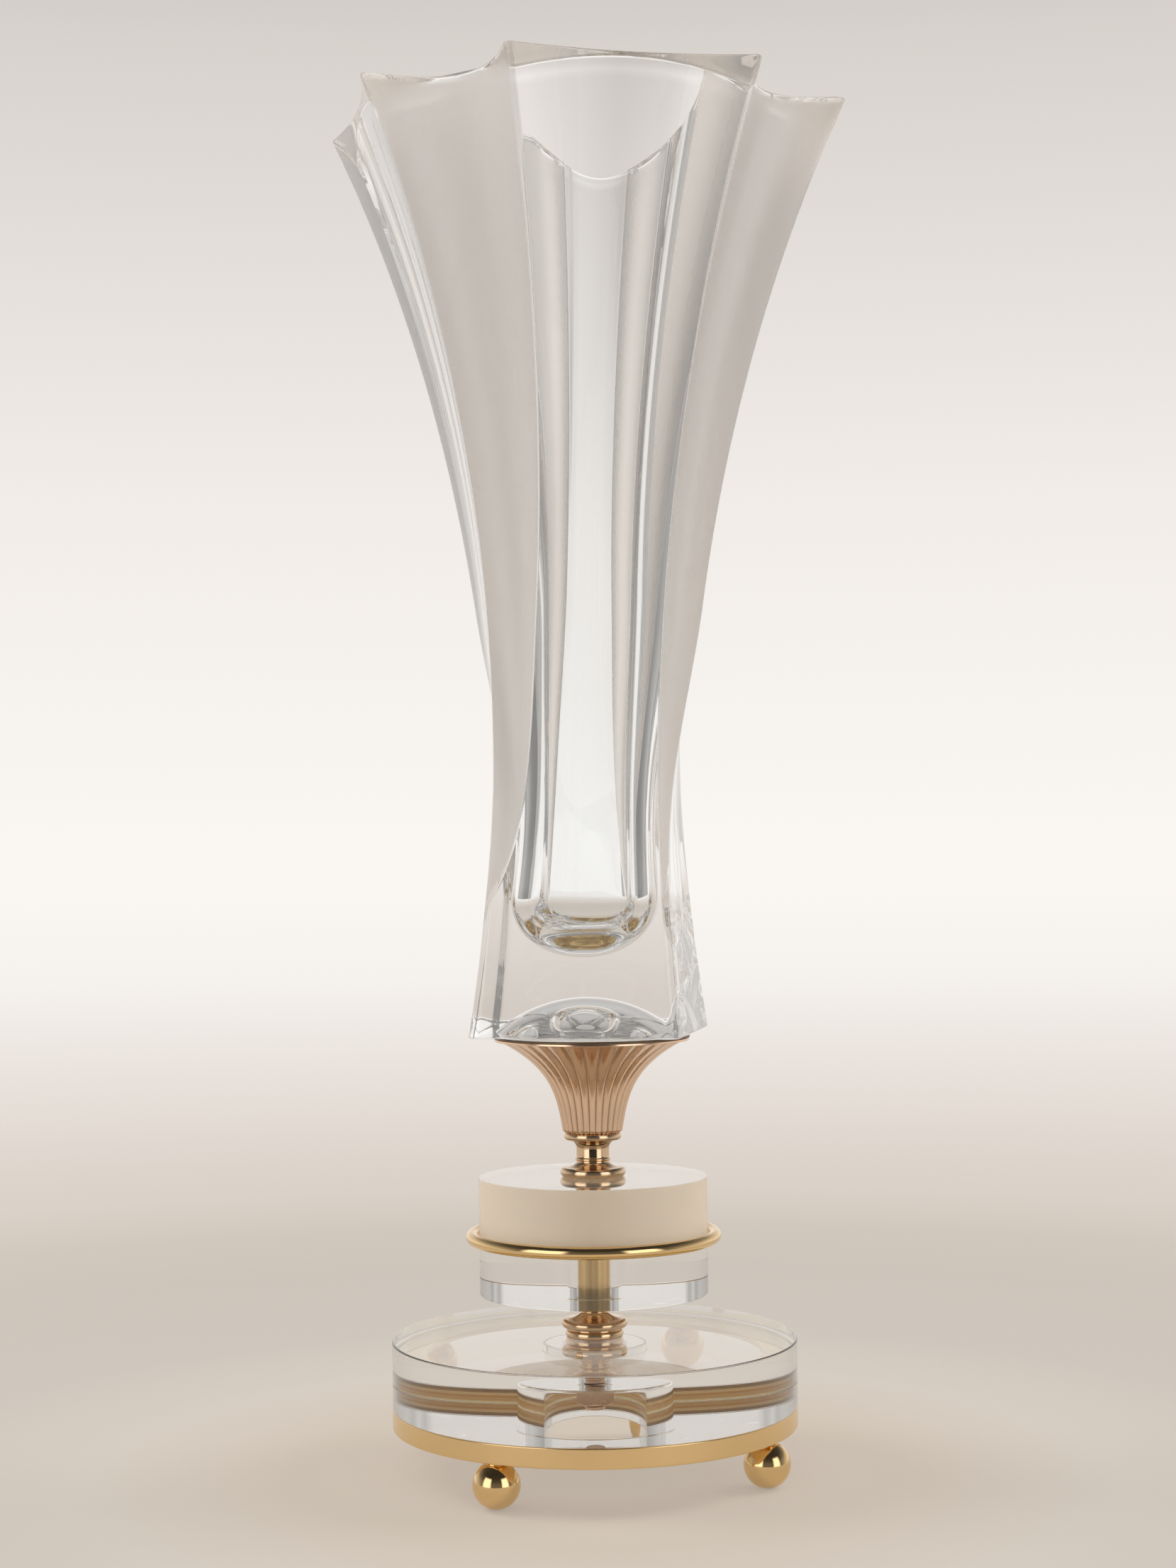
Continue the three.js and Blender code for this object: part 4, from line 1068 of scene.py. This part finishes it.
def floor_finish(settings):
    """Pale floor. Its ramp darkens a little within about half a metre of the vase, painted shade round it.
    Far from the vase it fades to the bright backdrop for the rays that see it.
    """
    made = Finish("studio_floor", Roughness=0.7, Specular_IOR_Level=0.2)
    distance = made.node("ShaderNodeVectorMath", {0: made.position}, operation="LENGTH").outputs["Value"]
    squeezed = made.math("DIVIDE", distance, made.math("ADD", distance, 1.5))
    # painted shade: the darker stops from 0.07 to 0.24 darken the floor round the vase
    floor_tones_and_painted_shade = made.ramp(squeezed, [(0.05, opaque(settings.floor_near))] + tones(
        (0.07, 199, 188, 174), (0.112, 203, 194, 184), (0.16, 196, 188, 179), (0.24, 197, 188, 179),
        (0.295, 203, 194, 184), (0.35, 215, 206, 197), (0.41, 222, 213, 205), (0.56, 234, 227, 221),
        (0.72, 245, 241, 237), (0.92, 250, 246, 242)))
    made.feed("Base Color", floor_tones_and_painted_shade)
    far = made.between(distance, 0.62, 1.0, 0.1, 1.0)
    axes = made.axes()
    front = made.times(made.path("Is Glossy Ray"), made.between(axes["Y"], 1.0, 0.0, -0.6, -0.35))
    front = made.times(front, outside_rays(made))
    shown = made.blend(front, floor_tones_and_painted_shade, made.blend(panel_light(made, axes), DARK_FRONT, PANEL))
    glow = made.node("ShaderNodeEmission", {"Color": shown, "Strength": 1.0}).outputs["Emission"]
    amount = made.math("MAXIMUM", front, made.times(far, seen_rays(made)))
    mix = made.node("ShaderNodeMixShader", {0: amount, 1: made.shader.outputs["BSDF"], 2: glow})
    made.tree.links.new(mix.outputs["Shader"], made.tree.nodes["Material Output"].inputs["Surface"])
    return made.material


def studio_world():
    """A pale backdrop, brightest at the horizon and dark overhead, for the rays that see it, and an
    even soft light for the rest, stronger where it comes through something clear, which the lamps'
    light does not pass. Metal also shows the studio's dark front with two light panels in it."""
    world = bpy.data.worlds.new("studio_backdrop")
    world.use_nodes = True
    made = Nodes(world.node_tree, "Generated")
    axes = made.axes()
    climb = made.between(axes["Z"], 0.0, 1.0, -0.2, 1.0)
    backdrop = made.ramp(climb, tones(
        (0.10, 248, 244, 240), (0.167, 250, 247, 243), (0.28, 241, 236, 232), (0.415, 216, 210, 205),
        (0.55, 150, 147, 145), (0.75, 84, 83, 83), (1.0, 60, 60, 61)))
    through = made.ramp(climb, tones(
        (0.10, 255, 252, 248), (0.167, 255, 253, 250), (0.28, 246, 241, 236), (0.415, 209, 202, 197),
        (0.58, 194, 191, 188), (1.0, 212, 209, 206)))
    facing = made.math("DIVIDE", axes["Y"], made.reach(axes, LEAST))
    wings = made.ramp(made.between(facing, 0.0, 1.0, -1.0, 1.0), tones(
        (0.0, 160, 159, 157), (0.4, 150, 149, 147), (0.5, 148, 147, 145), (0.62, 168, 166, 163),
        (0.70, 186, 183, 179), (0.78, 190, 187, 184), (0.815, 140, 139, 138), (0.84, 206, 204, 201),
        (0.865, 150, 149, 148)))
    level = made.between(axes["Z"], 1.0, 0.0, 0.1, 0.32)
    aside = made.times(made.between(facing, 1.0, 0.0, 0.73, 0.78), level)
    clear, metal = made.path("Is Transmission Ray"), made.path("Is Glossy Ray")
    shown = made.blend(clear, backdrop, made.blend(aside, through, wings))
    front = made.times(metal, made.between(axes["Y"], 0.85, 0.0, -0.4, 0.6))
    shown = made.blend(front, shown, made.blend(outside_rays(made), DIM_FRONT, DARK_FRONT))
    panel = made.times(panel_light(made, axes), made.between(axes["Z"], 1.0, 0.0, 0.55, 0.65))
    panel = made.times(made.times(metal, outside_rays(made)), panel)
    shown = made.blend(panel, shown, PANEL)
    light = made.blend(seen_rays(made), made.blend(clear, EVEN_LIGHT, INNER_LIGHT), shown)
    made.tree.links.new(light, made.tree.nodes["Background"].inputs["Color"])
    return world


def soft_box(name, place_at, power):
    """A square lamp that faces the middle of the vase and lights all but what is polished or clear."""
    lamp = bpy.data.lights.new(name, "AREA")
    lamp.shape, lamp.size, lamp.size_y, lamp.energy = "RECTANGLE", LAMP_WIDTH, LAMP_HEIGHT, power
    made = bpy.data.objects.new(name, lamp)
    made.visible_glossy = made.visible_transmission = False
    made.location = place_at
    made.rotation_euler = (Vector(LAMP_AIM) - Vector(place_at)).to_track_quat("-Z", "Y").to_euler()
    bpy.context.scene.collection.objects.link(made)


class VASE_OT_studio(bpy.types.Operator):
    """Lay the floor and set up the backdrop, the lamps and the camera"""
    bl_idname = "vase.studio"
    bl_label = "Studio"

    def execute(self, context):
        scene = context.scene
        settings = scene.vase_studio
        scene.cycles.max_bounces = scene.cycles.transmission_bounces = CLEAR_BOUNCES
        scene.cycles.glossy_bounces = METAL_BOUNCES
        reach = np.concatenate([[0.0], np.geomspace(0.05, FLOOR_REACH, 40)])
        disc = turned(np.stack([reach, np.full(len(reach), -FLOOR_DROP)], axis=1), 64)
        floor = skin("studio_floor", disc, looped=False)
        floor.data.materials.append(floor_finish(settings))
        scene.world = studio_world()
        for name, place_at in LAMPS.items():
            soft_box(name, place_at, settings.lamp_power)
        lens = bpy.data.cameras.new("photo_camera")
        lens.sensor_width, lens.lens, lens.shift_y = SENSOR, LENS, LENS_SHIFT
        lens.clip_start, lens.clip_end = 0.05, 60.0
        camera = bpy.data.objects.new("photo_camera", lens)
        camera.location = (CAMERA_ASIDE, -settings.camera_distance, settings.camera_height)
        camera.rotation_euler = (math.pi / 2, settings.camera_roll, 0)
        scene.collection.objects.link(camera)
        scene.camera = camera
        scene.view_settings.view_transform = "Standard"
        return {"FINISHED"}


class VASE_PT_builder(bpy.types.Panel):
    """The vase's sizes, colours and pieces in the 3D view's sidebar"""
    bl_label = "Crystal vase"
    bl_space_type = "VIEW_3D"
    bl_region_type = "UI"
    bl_category = "Vase"

    def draw(self, context):
        for title, name in (("Crystal", "vase_crystal"), ("Stand", "vase_stand"),
                            ("Finishes", "vase_finishes"), ("Studio", "vase_studio")):
            box = self.layout.box()
            box.label(text=title)
            settings = getattr(context.scene, name)
            for field in settings.__annotations__:
                box.prop(settings, field)
        for operator in OPERATORS:
            self.layout.operator(operator.bl_idname)


OPERATORS = (VASE_OT_studio, VASE_OT_crystal, VASE_OT_cup, VASE_OT_collars, VASE_OT_pedestal,
             VASE_OT_base, VASE_OT_feet, VASE_OT_hardware)
GROUPS = {"vase_crystal": CrystalSizes, "vase_stand": StandSizes,
          "vase_finishes": FinishColours, "vase_studio": StudioSettings}


def register():
    for group in (*GROUPS.values(), *OPERATORS, VASE_PT_builder):
        bpy.utils.register_class(group)
    for name, group in GROUPS.items():
        setattr(bpy.types.Scene, name, PointerProperty(type=group))


def unregister():
    for name in GROUPS:
        delattr(bpy.types.Scene, name)
    for group in (VASE_PT_builder, *reversed(OPERATORS), *reversed(tuple(GROUPS.values()))):
        bpy.utils.unregister_class(group)


def main():
    register()
    bpy.ops.vase.studio()
    bpy.ops.vase.crystal()
    bpy.ops.vase.cup()
    bpy.ops.vase.collars()
    bpy.ops.vase.pedestal()
    bpy.ops.vase.base()
    bpy.ops.vase.feet()
    bpy.ops.vase.hardware()
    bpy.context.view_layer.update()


if __name__ == "__main__":
    main()
